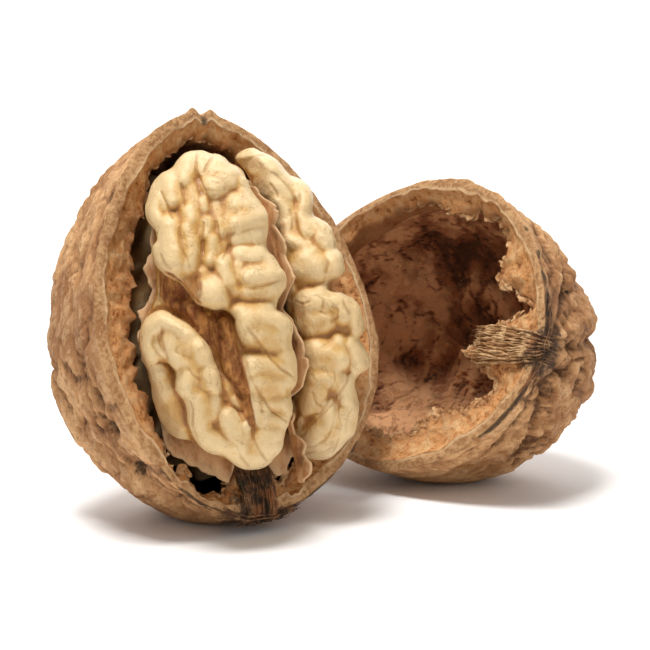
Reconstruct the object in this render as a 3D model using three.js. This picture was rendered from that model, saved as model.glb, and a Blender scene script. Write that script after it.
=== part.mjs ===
// A cracked walnut: one shell half holding the whole kernel, one shell half empty beside it.
// Millimetres, +Z up, front face towards -Y, resting on z = 0.
import * as THREE from 'three';

// Driving dimensions, real sizes of the nut.
const nutLength = 42;
const nutWidth = 35;
const tipReach = 23.6;
const stemReach = nutLength - tipReach;
const wallThickness = 1.5;
const flangeThickness = 0.75;
const fitGap = 0.45;

// Shape of the seam outline and of the domed back.
const tipFullness = 1.79;
const stemFullness = 1.83;
const backFullness = 2.9;

// Mesh fineness.
const around = 72;
const outerRings = 11;
const innerRings = 7;
const kernelCell = 1.0;
const backCell = 2.0;
const sheetAround = 60;

// Each half has its middle, the way its tip points and the way its opening faces.
// The flange is listed as [degrees round the seam from the long side, width inwards].
const fullHalf = {
  middle: [-9.4, -6.2, 19.0],
  tipAxis: [-0.14, 0.304, 0.943],
  opening: [0.615, -0.719, 0.323],
  nearReach: 15.6,
  farReach: nutWidth - 15.6,
  depth: 18.3,
  flange: [
    [0, 4.3], [10, 4.5], [20, 4.9], [30, 5.0], [40, 4.2], [50, 4.6], [60, 4.0], [65, 3.6], [70, 2.9],
    [80, 3.3], [85, 2.4], [90, 2.7], [95, 2.3], [100, 2.6], [104, 3.3], [112, 3.0], [125, 3.6],
    [150, 4.0], [180, 4.0], [210, 4.0], [235, 4.0], [248, 2.6], [254, 2.3], [256.5, 4.7], [262, 5.3],
    [268, 5.4], [274, 5.1], [277, 3.0], [279, 1.9], [284, 1.5], [290, 1.2], [300, 1.2], [306, 1.7],
    [310, 2.5], [320, 3.4], [330, 3.8], [340, 4.0], [350, 4.2],
  ],
  stalk: { from: 256, to: 276, thickness: 1.1 },
  stemFurrows: [18, 47, 72, 98, 131, 160],
  ledges: [],
  wrinkleSeed: 0.4,
};
const emptyHalf = {
  middle: [9.5, 10.0, 17.05],
  tipAxis: [-0.691, 0.723, 0.002],
  opening: [-0.671, -0.643, 0.369],
  nearReach: 15.5,
  farReach: nutWidth - 16.6,
  depth: 19.6,
  flange: [
    [0, 3.8], [15, 4.1], [30, 4.0], [60, 3.0], [90, 2.6], [110, 2.2], [130, 2.0], [150, 2.1],
    [168, 2.0], [174, 2.3], [180, 3.9], [184, 3.4], [190, 3.4], [196, 2.4], [205, 2.1], [214, 2.3],
    [220, 3.4], [225, 4.6], [230, 6.2], [235, 5.4], [240, 5.2], [244, 4.0], [249, 2.7], [254, 2.6],
    [257, 5.6], [260, 7.4], [263, 9.2], [266, 9.6], [270, 9.9], [274, 10.4], [277, 10.7], [279, 9.4],
    [281, 8.2], [283, 6.4], [286, 4.6], [290, 3.9], [300, 4.4], [310, 4.9], [320, 5.3], [330, 5.6],
    [340, 4.6], [350, 4.0],
  ],
  stalk: { from: 256, to: 284, thickness: 1.0 },
  stemFurrows: [20, 42, 80, 110, 148, 166],
  ledges: [
    { height: 1.7, spread: 1.5, line: [[-7.4, -6.2, 17.8], [-8.3, -8.6, 16.6], [-10.0, -10.4, 13.7]] },
    { height: 1.0, spread: 1.2, line: [[-10.9, -8.3, 13.6], [-12.7, -6.6, 12.0], [-15.2, -5.2, 6.8]] },
    { height: 1.0, spread: 1.2, line: [[-15.2, -5.2, 6.8], [-15.6, -7.6, 4.4]] },
  ],
  wrinkleSeed: 2.1,
};

// The kernel is read in a frame that faces the front: right, up and towards the front, from the
// middle of the full half. Its front leans down by this angle, and sizes shrink with distance.
const frontLean = THREE.MathUtils.degToRad(6.86);
const frontDistance = 150;

// The two lobes of the kernel's front, as ellipsoids in the full half's own axes.
const lobeA = { middle: [4.0, 3.0, 1.8], reach: [8.0, 8.5, 16.2] };
const lobeB = { middle: [-8.5, 1.5, 2.7], reach: [6.8, 8.5, 15.8] };
const foldDepth = 2.9;
const sideDepth = 0.9;
const waist = { middle: [-1.6, -0.6, 2.0], reach: [12.6, 4.4, 14.2] };

// Folds as lines of [right, up, radius]; rise lifts or sinks a fold on its lobe.
const foldsA = [
  { rise: 0.0, line: [[-4.7, 16.2, 1.7], [-6.1, 14.6, 1.9], [-5.6, 13.2, 1.7]] },
  { rise: 0.0, line: [[-3.4, 16.6, 1.5], [-4.7, 16.2, 1.6]] },
  { rise: 0.0, line: [[-7.2, 12.9, 1.45], [-6.5, 11.4, 1.2]] },
  { rise: 0.3, line: [[-6.1, 9.2, 2.0], [-5.0, 7.4, 1.6]] },
  { rise: 0.1, line: [[-4.8, 10.8, 1.3], [-4.2, 7.0, 1.2]] },
  { rise: 0.3, line: [[-1.0, 15.8, 2.4], [-0.9, 14.2, 1.6]] },
  { rise: 0.1, line: [[1.4, 15.6, 1.8], [2.4, 14.3, 1.4]] },
  { rise: 0.3, line: [[0.9, 12.9, 1.9], [3.0, 12.3, 1.3]] },
  { rise: 0.5, line: [[0.3, 10.4, 1.5], [2.6, 11.1, 1.6]] },
  { rise: 0.1, line: [[3.0, 7.9, 1.8], [0.9, 8.0, 1.6]] },
  { rise: 0.3, line: [[3.6, 5.8, 1.8], [1.4, 5.6, 1.7]] },
  { rise: 0.4, line: [[1.9, 1.1, 1.6], [3.4, 0.6, 2.6], [4.9, -1.0, 2.0]] },
  { rise: 0.7, line: [[-2.1, 3.7, 1.35], [-1.2, 5.4, 1.1], [-0.6, 7.3, 1.2], [-0.6, 9.4, 1.2]] },
  { rise: 0.2, line: [[-2.9, 13.4, 0.8], [-2.7, 11.0, 0.9], [-1.9, 7.1, 1.0]] },
  { rise: -0.2, line: [[0.2, 3.8, 1.5], [2.6, 3.4, 1.5], [4.6, 3.4, 1.2]] },
  { rise: 0.5, line: [[-7.9, 0.3, 1.2], [-6.6, 1.0, 1.4], [-5.0, 0.2, 1.6], [-3.6, -1.6, 1.7]] },
  { rise: 0.5, line: [[-3.6, -1.6, 1.7], [-3.2, -4.2, 1.8], [-3.2, -6.8, 1.8], [-2.6, -9.0, 1.7]] },
  { rise: 0.2, line: [[-2.6, -9.0, 1.7], [-1.3, -10.8, 1.5], [0.6, -12.1, 1.35]] },
  { rise: -1.6, line: [[-8.2, -0.6, 1.1], [-7.7, -4.8, 1.3], [-6.4, -8.3, 1.3], [-5.2, -10.4, 1.2]] },
  { rise: 0.1, line: [[4.3, -3.6, 2.3], [2.4, -4.0, 1.6]] },
  { rise: 0.1, line: [[5.0, -7.0, 1.9], [3.1, -7.0, 1.5]] },
  { rise: 0.1, line: [[4.2, -10.2, 2.1], [3.0, -9.4, 1.5]] },
  { rise: 0.0, line: [[3.6, -11.8, 1.6], [1.8, -12.0, 1.6]] },
  { rise: 0.2, line: [[-1.3, -7.2, 1.0], [0.0, -9.2, 1.1], [1.2, -11.3, 1.1]] },
];
const foldsB = [
  { rise: 0.0, line: [[1.2, 17.4, 1.1], [2.2, 16.0, 1.0]] },
  { rise: 0.2, line: [[3.0, 17.1, 1.4], [4.7, 16.1, 1.4]] },
  { rise: -0.2, line: [[3.6, 15.3, 1.1], [4.6, 13.9, 1.2]] },
  { rise: 0.3, line: [[6.3, 15.2, 1.3], [7.3, 14.2, 1.4], [7.0, 13.3, 1.1]] },
  { rise: 0.2, line: [[5.6, 12.2, 1.6], [7.3, 12.2, 1.2]] },
  { rise: 0.2, line: [[8.6, 10.7, 1.2], [9.2, 9.9, 1.3]] },
  { rise: 0.0, line: [[6.3, 9.5, 1.5], [7.6, 9.2, 1.2]] },
  { rise: 0.5, line: [[7.6, 7.1, 1.9], [8.6, 6.2, 1.3]] },
  { rise: 0.3, line: [[10.3, 7.2, 1.4], [10.4, 6.4, 1.2]] },
  { rise: -0.3, line: [[7.4, 4.6, 1.2], [8.6, 4.4, 1.0]] },
  { rise: 0.4, line: [[8.6, 2.4, 1.4], [9.6, 3.2, 1.4], [10.8, 2.8, 1.4]] },
  { rise: 0.0, line: [[12.3, 1.6, 1.1], [12.8, -0.2, 1.1]] },
  { rise: 0.0, line: [[7.9, 0.2, 1.3], [7.8, -1.6, 1.3]] },
  { rise: 0.2, line: [[10.2, -1.0, 1.2], [9.8, -2.4, 1.4], [9.4, -4.3, 1.4]] },
  { rise: 0.0, line: [[12.6, -1.9, 1.2], [12.5, -4.0, 1.1]] },
  { rise: 0.0, line: [[7.8, -4.0, 1.3], [8.0, -6.4, 1.4]] },
  { rise: 0.1, line: [[11.4, -6.2, 1.4], [10.6, -8.6, 1.5], [9.6, -10.7, 1.7]] },
  { rise: 0.0, line: [[8.0, -8.4, 1.3], [7.7, -10.6, 1.7]] },
  { rise: 0.0, line: [[12.3, -5.8, 1.0], [11.9, -8.4, 1.1]] },
];
// Furrows pressed in between the folds, as [right, up] with one radius for each.
const furrowsA = [
  { radius: 0.9, line: [[-3.3, 18.3], [-3.1, 16.2], [-2.8, 14.5], [-2.2, 12.0], [-1.4, 10.2]] },
  { radius: 1.2, line: [[-1.6, 13.2], [-1.4, 12.0]] },
  { radius: 0.9, line: [[-3.5, 9.8], [-3.3, 6.8], [-2.9, 5.4]] },
  { radius: 2.1, line: [[-7.4, 3.9], [-5.2, 4.2], [-3.6, 2.9], [-2.0, 1.0]] },
  { radius: 2.0, line: [[-2.0, 1.0], [-0.8, -1.2], [-0.1, -3.6]] },
  { radius: 1.6, line: [[-0.1, -3.6], [0.4, -6.0], [1.0, -8.4]] },
  { radius: 0.9, line: [[1.2, -6.4], [2.2, -9.7], [3.0, -11.7], [3.8, -13.4]] },
  { radius: 0.8, line: [[1.0, 14.2], [0.4, 12.9], [-0.4, 11.2]] },
  { radius: 0.9, line: [[2.1, -1.7], [4.0, -2.3], [6.4, -2.9]] },
  { radius: 0.8, line: [[0.6, 9.2], [2.0, 9.4], [4.4, 9.5]] },
  { radius: 0.8, line: [[0.4, 6.7], [2.2, 6.9], [4.8, 7.0]] },
  { radius: 0.8, line: [[-0.2, 2.6], [0.6, 1.6], [0.9, 0.2], [1.8, -1.2]] },
  { radius: 0.8, line: [[3.4, -5.3], [4.8, -5.4], [6.6, -5.6]] },
  { radius: 0.8, line: [[3.2, -8.6], [4.6, -8.7], [6.4, -8.9]] },
  { radius: 1.0, line: [[-7.2, -1.4], [-6.0, -1.9], [-5.4, -3.6], [-5.2, -6.4]] },
  { radius: 1.0, line: [[-5.2, -6.4], [-4.5, -9.0], [-3.0, -11.4]] },
];
const furrowsB = [
  { radius: 0.7, line: [[1.5, 18.4], [1.9, 17.0]] },
  { radius: 0.8, line: [[5.2, 14.6], [6.2, 13.6], [8.0, 13.2]] },
  { radius: 0.8, line: [[6.6, 10.9], [7.8, 10.6], [8.4, 9.3]] },
  { radius: 0.9, line: [[9.2, 8.8], [9.3, 6.8], [8.9, 5.0]] },
  { radius: 1.2, line: [[7.0, 5.0], [9.6, 4.9], [11.8, 5.2]] },
  { radius: 0.8, line: [[11.5, 1.2], [11.4, -2.0], [11.0, -4.6], [10.0, -6.4]] },
  { radius: 0.8, line: [[8.9, 0.8], [8.8, -2.0], [8.7, -5.6], [8.8, -8.0], [8.5, -12.0]] },
];

// The partition between the kernel's two layers, and the web in the cleft between the lobes.
const partitionThickness = 0.7;
const webThickness = 0.64;
const webHeights = [
  [-16, 1.2], [-15, 4.6], [-14, 5.2], [-13, 4.3], [-12, 4.9], [-10.5, 3.4], [-9, 3.9], [-7.4, 3.6],
  [-6.6, 6.4], [-5.4, 7.6], [-4, 7.2], [-2.6, 7.7], [-1.2, 7.0], [0.2, 6.2], [1.4, 5.6], [2.6, 6.9],
  [3.8, 8.3], [5.0, 7.9], [6.4, 7.2], [8.0, 7.5], [9.6, 6.7], [11.4, 7.1], [12.6, 6.1], [14, 5.4],
  [15, 3.6],
];

const colours = {
  fullShell: new THREE.Color(0.58, 0.42, 0.29),
  emptyShell: new THREE.Color(0.55, 0.39, 0.27),
  kernel: new THREE.Color(0.86, 0.74, 0.52),
  backKernel: new THREE.Color(0.6, 0.47, 0.3),
  partition: new THREE.Color(0.6, 0.42, 0.28),
  web: new THREE.Color(0.74, 0.56, 0.4),
};

// Small helpers for lists, blends and smooth joins.
function clamp(value, low, high) {
  return Math.min(high, Math.max(low, value));
}

function smoothStep(low, high, value) {
  const t = clamp((value - low) / (high - low), 0, 1);
  return t * t * (3 - 2 * t);
}

function smoothMin(a, b, width) {
  const h = clamp(0.5 + (0.5 * (b - a)) / width, 0, 1);
  return b + (a - b) * h - width * h * (1 - h);
}

function lookUp(list, at) {
  for (let i = 1; i < list.length; i += 1) {
    if (at <= list[i][0]) {
      const t = (at - list[i - 1][0]) / (list[i][0] - list[i - 1][0]);
      return list[i - 1][1] + (list[i][1] - list[i - 1][1]) * clamp(t, 0, 1);
    }
  }
  return list[list.length - 1][1];
}

// The right, opening and tip directions of a half, square to one another.
function axesOf(half) {
  const tip = new THREE.Vector3(...half.tipAxis).normalize();
  const facing = new THREE.Vector3(...half.opening);
  facing.addScaledVector(tip, -facing.dot(tip)).normalize();
  const side = new THREE.Vector3().crossVectors(facing, tip);
  return { side, facing, tip, middle: new THREE.Vector3(...half.middle) };
}

function toWorld(axes, p) {
  return axes.middle.clone()
    .addScaledVector(axes.side, p[0])
    .addScaledVector(axes.facing, p[1])
    .addScaledVector(axes.tip, p[2]);
}

// Seam outline: a pointed oval whose radius is read round the opening.
function seamRadius(half, angle) {
  const c = Math.cos(angle);
  const s = Math.sin(angle);
  const reach = c > 0 ? half.nearReach : half.farReach;
  const length = s > 0 ? tipReach : stemReach;
  const power = s > 0 ? tipFullness : stemFullness;
  const sum = Math.abs(c / reach) ** power + Math.abs(s / length) ** power;
  return sum ** (-1 / power);
}

// Two small horns at the tip with a notch between them.
function tipHorns(angle) {
  const degrees = THREE.MathUtils.radToDeg(angle);
  const bump = (at, width) => Math.exp(-(((degrees - at) / width) ** 2));
  return 0.55 * bump(87.2, 1.7) + 0.55 * bump(92.8, 1.7) - 0.5 * bump(90, 1.2);
}

// Distance from the middle to the smooth outside, lean 0 at the back and 90 degrees at the seam.
function domeRadius(half, angle, lean) {
  const rim = seamRadius(half, angle) + tipHorns(angle) * smoothStep(1.2, 1.5, lean);
  const sum = (Math.sin(lean) / rim) ** backFullness + (Math.cos(lean) / half.depth) ** backFullness;
  return sum ** (-1 / backFullness);
}

// Ridges along the nut, broad lumps and the hollow channels between them.
function outerRelief(half, x, y, z) {
  const seed = half.wrinkleSeed;
  const turn = Math.atan2(-y, x);
  const sway = 0.7 * Math.sin(0.21 * z + seed) + 0.4 * Math.sin(0.47 * z + 2.2 * seed + x * 0.1);
  const ridges = 0.26 * Math.sin(10 * turn + sway) + 0.16 * Math.sin(17 * turn - 1.6 * sway + seed);
  const lumps = 0.3 * Math.sin(0.42 * x + seed) * Math.sin(0.36 * y + 1.1) * Math.sin(0.33 * z + 2.1 * seed);
  const away = Math.hypot(x, y);
  return ridges * smoothStep(0, 9, away) + lumps - stemFurrowDepth(half, turn, away, z);
}

// Furrows that spread out over the shell from the stem end.
function stemFurrowDepth(half, turn, away, z) {
  const fade = smoothStep(-9, -13, z) * smoothStep(0.5, 2, away);
  const degrees = THREE.MathUtils.radToDeg(turn);
  const depths = half.stemFurrows.map((at) => {
    const off = THREE.MathUtils.degToRad(degrees - at) * away;
    return 0.5 * Math.exp(-((off / 0.8) ** 2));
  });
  return fade * Math.max(...depths);
}

function innerRelief(half, x, y, z) {
  const seed = half.wrinkleSeed + 1.7;
  const wrinkles = 0.22 * Math.sin(0.62 * x + seed + 0.8 * Math.sin(0.3 * z)) * Math.sin(0.5 * z + 0.4 * y)
    + 0.12 * Math.sin(1.1 * y + 0.9 * z + seed);
  const raised = half.ledges.map((ledge) => ledge.height * Math.exp(
    -((lineDistance(ledge.line, [x, y, z]) / ledge.spread) ** 2),
  ));
  return wrinkles - Math.max(0, ...raised);
}

function lineDistance(line, p) {
  let nearest = Infinity;
  for (let i = 0; i + 1 < line.length; i += 1) {
    const bar = { a: { at: line[i], radius: 0 }, b: { at: line[i + 1], radius: 0 } };
    nearest = Math.min(nearest, barDistance(bar, p));
  }
  return nearest;
}

function flangeWidth(half, angle) {
  const degrees = (THREE.MathUtils.radToDeg(angle) + 360) % 360;
  const closed = [...half.flange, [360, half.flange[0][1]]];
  return lookUp(closed, degrees);
}

// Extra thickness of the fibrous stalk that is left at the stem end.
function stalkThickness(half, angle) {
  const degrees = (THREE.MathUtils.radToDeg(angle) + 360) % 360;
  const { from, to, thickness } = half.stalk;
  return thickness * smoothStep(from - 3, from + 2, degrees) * smoothStep(to + 3, to - 2, degrees);
}

// Angles round the seam, closer together at the tip and at the stem.
function seamAngle(i) {
  const u = (2 * Math.PI * i) / around;
  return u + 0.28 * Math.sin(2 * u);
}

function outerPoint(half, angle, lean) {
  const smooth = domeRadius(half, angle, lean);
  const dir = [Math.sin(lean) * Math.cos(angle), -Math.cos(lean), Math.sin(lean) * Math.sin(angle)];
  const at = dir.map((d) => d * smooth);
  const height = toWorld(axesOf(half), at).z;
  const relief = outerRelief(half, ...at) * smoothStep(0.5, 5, height) * smoothStep(1.57, 1.3, lean);
  return dir.map((d) => d * (smooth + relief));
}

function innerPoint(half, angle, lean) {
  const smooth = domeRadius(half, angle, lean);
  const dir = [Math.sin(lean) * Math.cos(angle), -Math.cos(lean), Math.sin(lean) * Math.sin(angle)];
  const at = dir.map((d) => d * smooth);
  const radius = smooth - wallThickness - 0.35 + innerRelief(half, ...at);
  return dir.map((d) => d * radius);
}

// The seam face: a raised outer strip, then a rough band sloping inwards to the torn edge.
function seamRings(half) {
  const steps = [
    { inset: 0.45, up: 0.22 },
    { inset: 1.5, up: 0.1 },
    { inset: 1.75, up: -0.3 },
    { share: 0.62, up: -0.85 },
    { share: 1.0, up: -1.45 },
    { share: 1.0, up: -1.45, under: true },
  ];
  return steps.map((step) => {
    const ring = [];
    for (let i = 0; i < around; i += 1) {
      const angle = seamAngle(i);
      const rim = seamRadius(half, angle) + tipHorns(angle);
      const width = Math.max(flangeWidth(half, angle), 1.1);
      const inset = step.share ? width * step.share : Math.min(step.inset, width * 0.5);
      const r = rim - inset;
      const lift = step.under ? -flangeThickness - stalkThickness(half, angle) : 0;
      ring.push([r * Math.cos(angle), step.up + lift, r * Math.sin(angle)]);
    }
    return ring;
  });
}

function ringOf(maker, half, lean) {
  const ring = [];
  for (let i = 0; i < around; i += 1) {
    ring.push(maker(half, seamAngle(i), lean));
  }
  return ring;
}

// A closed skin through a stack of rings with a point at each end.
function skinOfRings(rings, firstPole, lastPole, place) {
  const positions = [];
  const index = [];
  const push = (p) => positions.push(...place(p));
  push(firstPole);
  rings.forEach((ring) => ring.forEach(push));
  push(lastPole);
  const count = rings[0].length;
  const last = 1 + rings.length * count;
  for (let i = 0; i < count; i += 1) {
    const j = (i + 1) % count;
    index.push(0, 1 + i, 1 + j);
    for (let k = 0; k + 1 < rings.length; k += 1) {
      const a = 1 + k * count;
      const b = a + count;
      index.push(a + i, b + j, a + j, a + i, b + i, b + j);
    }
    const end = last - count;
    index.push(end + i, last, end + j);
  }
  return closedGeometry(positions, index);
}

function closedGeometry(positions, index) {
  const geometry = new THREE.BufferGeometry();
  geometry.setAttribute('position', new THREE.Float32BufferAttribute(positions, 3));
  geometry.setIndex(index);
  geometry.computeVertexNormals();
  return geometry;
}

// A shell half, with the spot that it rests on pressed flat.
function shellHalf(half) {
  const axes = axesOf(half);
  const rings = [];
  for (let k = 1; k <= outerRings; k += 1) {
    rings.push(ringOf(outerPoint, half, (Math.PI / 2) * (k / outerRings) ** 0.9));
  }
  rings.push(...seamRings(half));
  for (let k = innerRings; k >= 1; k -= 1) {
    rings.push(ringOf(innerPoint, half, THREE.MathUtils.degToRad(77) * (k / innerRings) ** 0.9));
  }
  const back = outerPoint(half, 0, 0);
  const inside = innerPoint(half, 0, 0);
  const place = (p) => {
    const at = toWorld(axes, p);
    return [at.x, at.y, Math.max(at.z, 0)];
  };
  return skinOfRings(rings, back, inside, place);
}

// Front-facing readings turned into the full half's own axes.
const fullAxes = axesOf(fullHalf);
const frontUp = new THREE.Vector3(0, Math.sin(frontLean), Math.cos(frontLean));
const frontOut = new THREE.Vector3(0, -Math.cos(frontLean), Math.sin(frontLean));

function frontToLocal(right, up, out) {
  const v = new THREE.Vector3(right, 0, 0).addScaledVector(frontUp, up).addScaledVector(frontOut, out);
  return [v.dot(fullAxes.side), v.dot(fullAxes.facing), v.dot(fullAxes.tip)];
}

// Where the line of sight through a reading meets a lobe shrunk by some depth.
function pointOnLobe(lobe, right, up, depth) {
  const from = frontToLocal(right, up, 0);
  const along = frontToLocal(-right / frontDistance, -up / frontDistance, 1);
  const reach = lobe.reach.map((r) => r - depth);
  const p = from.map((f, i) => (f - lobe.middle[i]) / reach[i]);
  const d = along.map((a, i) => a / reach[i]);
  const dd = d[0] ** 2 + d[1] ** 2 + d[2] ** 2;
  const pd = p[0] * d[0] + p[1] * d[1] + p[2] * d[2];
  const pp = p[0] ** 2 + p[1] ** 2 + p[2] ** 2 - 1;
  const t = (-pd + Math.sqrt(Math.max(pd * pd - dd * pp, 0))) / dd;
  return from.map((f, i) => f + along[i] * t);
}

function placeFolds(lobe, folds) {
  const pieces = [];
  folds.forEach((fold) => {
    const points = fold.line.map(([right, up, radius]) => ({
      at: pointOnLobe(lobe, right, up, radius - fold.rise),
      radius,
    }));
    for (let i = 0; i + 1 < points.length; i += 1) {
      pieces.push({ a: points[i], b: points[i + 1] });
    }
  });
  return pieces;
}

function placeFurrows(lobe, furrows) {
  const pieces = [];
  furrows.forEach((furrow) => {
    const points = furrow.line.map(([right, up]) => ({
      at: pointOnLobe(lobe, right, up, furrow.radius * 0.6),
      radius: furrow.radius,
    }));
    for (let i = 0; i + 1 < points.length; i += 1) {
      pieces.push({ a: points[i], b: points[i + 1] });
    }
  });
  return pieces;
}

// Distance to a round bar whose ends may differ in radius.
function barDistance(bar, p) {
  const a = bar.a.at;
  const b = bar.b.at;
  const ab = [b[0] - a[0], b[1] - a[1], b[2] - a[2]];
  const ap = [p[0] - a[0], p[1] - a[1], p[2] - a[2]];
  const along = ab[0] * ab[0] + ab[1] * ab[1] + ab[2] * ab[2];
  const t = clamp((ap[0] * ab[0] + ap[1] * ab[1] + ap[2] * ab[2]) / along, 0, 1);
  const away = Math.hypot(ap[0] - ab[0] * t, ap[1] - ab[1] * t, ap[2] - ab[2] * t);
  return away - bar.a.radius - (bar.b.radius - bar.a.radius) * t;
}

function lobeDistance(lobe, inset, p) {
  const q = p.map((v, i) => (v - lobe.middle[i]) / (lobe.reach[i] - inset));
  const size = Math.hypot(...q);
  return (size - 1) * (Math.min(...lobe.reach) - inset);
}

// Room inside the full half: clear of the wall below, clear of the flange, free above the seam.
function roomDistance(p) {
  const angle = Math.atan2(p[2], p[0]);
  const rim = seamRadius(fullHalf, angle);
  const out = Math.hypot(p[0], p[2]);
  const width = Math.max(flangeWidth(fullHalf, angle), wallThickness + 0.6);
  const flangeLow = -1.45 - flangeThickness - stalkThickness(fullHalf, angle) - fitGap;
  const flange = Math.min(out - (rim - width - fitGap), p[1] - flangeLow, 0.75 - p[1]);
  const lean = Math.min(Math.atan2(out, -p[1]), Math.PI / 2);
  const inside = domeRadius(fullHalf, angle, lean) - wallThickness - 0.75 - fitGap;
  const wall = p[1] < 0.75 ? Math.hypot(...p) - inside : out - rim;
  return Math.max(flange, wall);
}

function partitionLevel(x, z) {
  return -1.2 + 0.3 * Math.sin(0.45 * x + 0.6) + 0.25 * Math.sin(0.38 * z + 1.2);
}

function webPlace(z) {
  return -2.4 + 0.07 * (z - 5);
}

// The cleft that the web stands in.
function cleftDistance(p) {
  const half = webThickness / 2 + 0.36;
  const side = Math.abs(p[0] - webPlace(p[2])) - half;
  return Math.max(side, 2.6 - p[1], Math.abs(p[2]) - 17.5);
}

const barsA = placeFolds(lobeA, foldsA);
const barsB = placeFolds(lobeB, foldsB);
const groovesA = placeFurrows(lobeA, furrowsA);
const groovesB = placeFurrows(lobeB, furrowsB);

// How far round to the front a point of a lobe lies, 1 at its foremost point.
function frontness(lobe, p) {
  const q = p.map((v, i) => (v - lobe.middle[i]) / lobe.reach[i]);
  const front = frontToLocal(0, 0, 1);
  return (q[0] * front[0] + q[1] * front[1] + q[2] * front[2]) / Math.max(Math.hypot(...q), 0.1);
}

function lobeField(lobe, bars, grooves, p) {
  const side = lobeDistance(lobe, sideDepth, p) + hiddenFolds(p);
  const front = lobeDistance(lobe, foldDepth, p);
  const share = smoothStep(0.1, 0.45, frontness(lobe, p));
  let d = side + (front - side) * share;
  bars.forEach((bar) => {
    d = smoothMin(d, barDistance(bar, p), 0.7);
  });
  grooves.forEach((groove) => {
    d = -smoothMin(-d, barDistance(groove, p), 0.45);
  });
  return d;
}

// Folds of the sides that face away from the front.
function hiddenFolds(p) {
  const warp = 0.9 * Math.sin(0.45 * p[2] + 0.8) + 0.6 * Math.sin(0.5 * p[0] + 0.3 * p[1]);
  return 0.42 * Math.sin(1.15 * p[1] + warp) * Math.sin(0.62 * p[2] + 1.2 * warp)
    + 0.2 * Math.sin(1.5 * p[0] + 0.9 * p[2] + warp);
}

function frontKernelField(p) {
  const a = lobeField(lobeA, barsA, groovesA, p);
  const b = lobeField(lobeB, barsB, groovesB, p);
  const joined = smoothMin(smoothMin(a, b, 0.4), lobeDistance(waist, 0, p), 0.8);
  const lobes = Math.max(joined, -cleftDistance(p));
  const floor = partitionLevel(p[0], p[2]) + partitionThickness / 2 + fitGap * 0.85 - p[1];
  return Math.max(lobes, floor, roomDistance(p));
}

function backKernelField(p) {
  const q = [(p[0] + 1) / 14.5, (p[1] + 5) / 9.5, (p[2] - 1) / 17];
  const body = (Math.hypot(...q) - 1) * 9.5 + hiddenFolds(p) * 1.3;
  const groove = 1.0 - Math.hypot(p[0] + 1, (p[1] + 13.2) * 0.6);
  const ceiling = p[1] - (partitionLevel(p[0], p[2]) - partitionThickness / 2 - fitGap * 0.85);
  return Math.max(body, groove, ceiling, roomDistance(p) + 0.3);
}

// A grid of samples whose corners never meet only across a diagonal, so that the skin is sound.
function sampleGrid(field, low, high, cell) {
  const size = low.map((l, i) => Math.ceil((high[i] - l) / cell) + 1);
  const values = new Float64Array(size[0] * size[1] * size[2]);
  const at = (i, j, k) => i + size[0] * (j + size[1] * k);
  for (let k = 0; k < size[2]; k += 1) {
    for (let j = 0; j < size[1]; j += 1) {
      for (let i = 0; i < size[0]; i += 1) {
        const v = field([low[0] + i * cell, low[1] + j * cell, low[2] + k * cell]);
        values[at(i, j, k)] = Math.abs(v) < 0.02 ? 0.02 * (v < 0 ? -1 : 1) : v;
      }
    }
  }
  const grid = { low, cell, size, values, at };
  keepLargestInside(grid);
  for (let round = 0; round < 40 && mendCorners(grid) > 0; round += 1) {
    keepLargestInside(grid);
  }
  return grid;
}

const corners = [
  [0, 0, 0], [1, 0, 0], [0, 1, 0], [1, 1, 0], [0, 0, 1], [1, 0, 1], [0, 1, 1], [1, 1, 1],
];
const cubeEdges = [
  [0, 1], [2, 3], [4, 5], [6, 7], [0, 2], [1, 3], [4, 6], [5, 7], [0, 4], [1, 5], [2, 6], [3, 7],
];

// True when the inside corners of a cell hang together, and the outside ones too.
function soundCell(mask) {
  return [true, false].every((wanted) => {
    const group = corners.map((_, i) => i).filter((i) => ((mask >> i) & 1) === (wanted ? 1 : 0));
    if (group.length < 2) {
      return true;
    }
    const seen = new Set([group[0]]);
    let grown = true;
    while (grown) {
      grown = false;
      cubeEdges.forEach(([a, b]) => {
        if (group.includes(a) && group.includes(b) && seen.has(a) !== seen.has(b)) {
          seen.add(a);
          seen.add(b);
          grown = true;
        }
      });
    }
    return seen.size === group.length;
  });
}
const soundMasks = Array.from({ length: 256 }, (_, mask) => soundCell(mask));

function cellMask(grid, i, j, k) {
  let mask = 0;
  corners.forEach(([a, b, c], n) => {
    if (grid.values[grid.at(i + a, j + b, k + c)] < 0) {
      mask |= 1 << n;
    }
  });
  return mask;
}

// Fills the shallowest outside corner of each unsound cell and returns how many were mended.
function mendCorners(grid) {
  let mended = 0;
  for (let k = 0; k + 1 < grid.size[2]; k += 1) {
    for (let j = 0; j + 1 < grid.size[1]; j += 1) {
      for (let i = 0; i + 1 < grid.size[0]; i += 1) {
        const mask = cellMask(grid, i, j, k);
        if (!soundMasks[mask]) {
          let best = -1;
          corners.forEach(([a, b, c]) => {
            const n = grid.at(i + a, j + b, k + c);
            if (grid.values[n] < 0 && (best < 0 || grid.values[n] > grid.values[best])) {
              best = n;
            }
          });
          grid.values[best] = 0.05;
          mended += 1;
        }
      }
    }
  }
  return mended;
}

// Drops loose crumbs and closes hollows, so that one solid body is left.
function keepLargestInside(grid) {
  [-1, 1].forEach((sign) => {
    const label = new Int32Array(grid.values.length);
    const sizes = [0];
    for (let start = 0; start < grid.values.length; start += 1) {
      if (label[start] === 0 && grid.values[start] * sign > 0) {
        sizes.push(floodFrom(grid, label, start, sign, sizes.length));
      }
    }
    const largest = sizes.indexOf(Math.max(...sizes));
    grid.values.forEach((v, n) => {
      if (v * sign > 0 && label[n] !== largest) {
        grid.values[n] = -0.3 * sign;
      }
    });
  });
}

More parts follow.
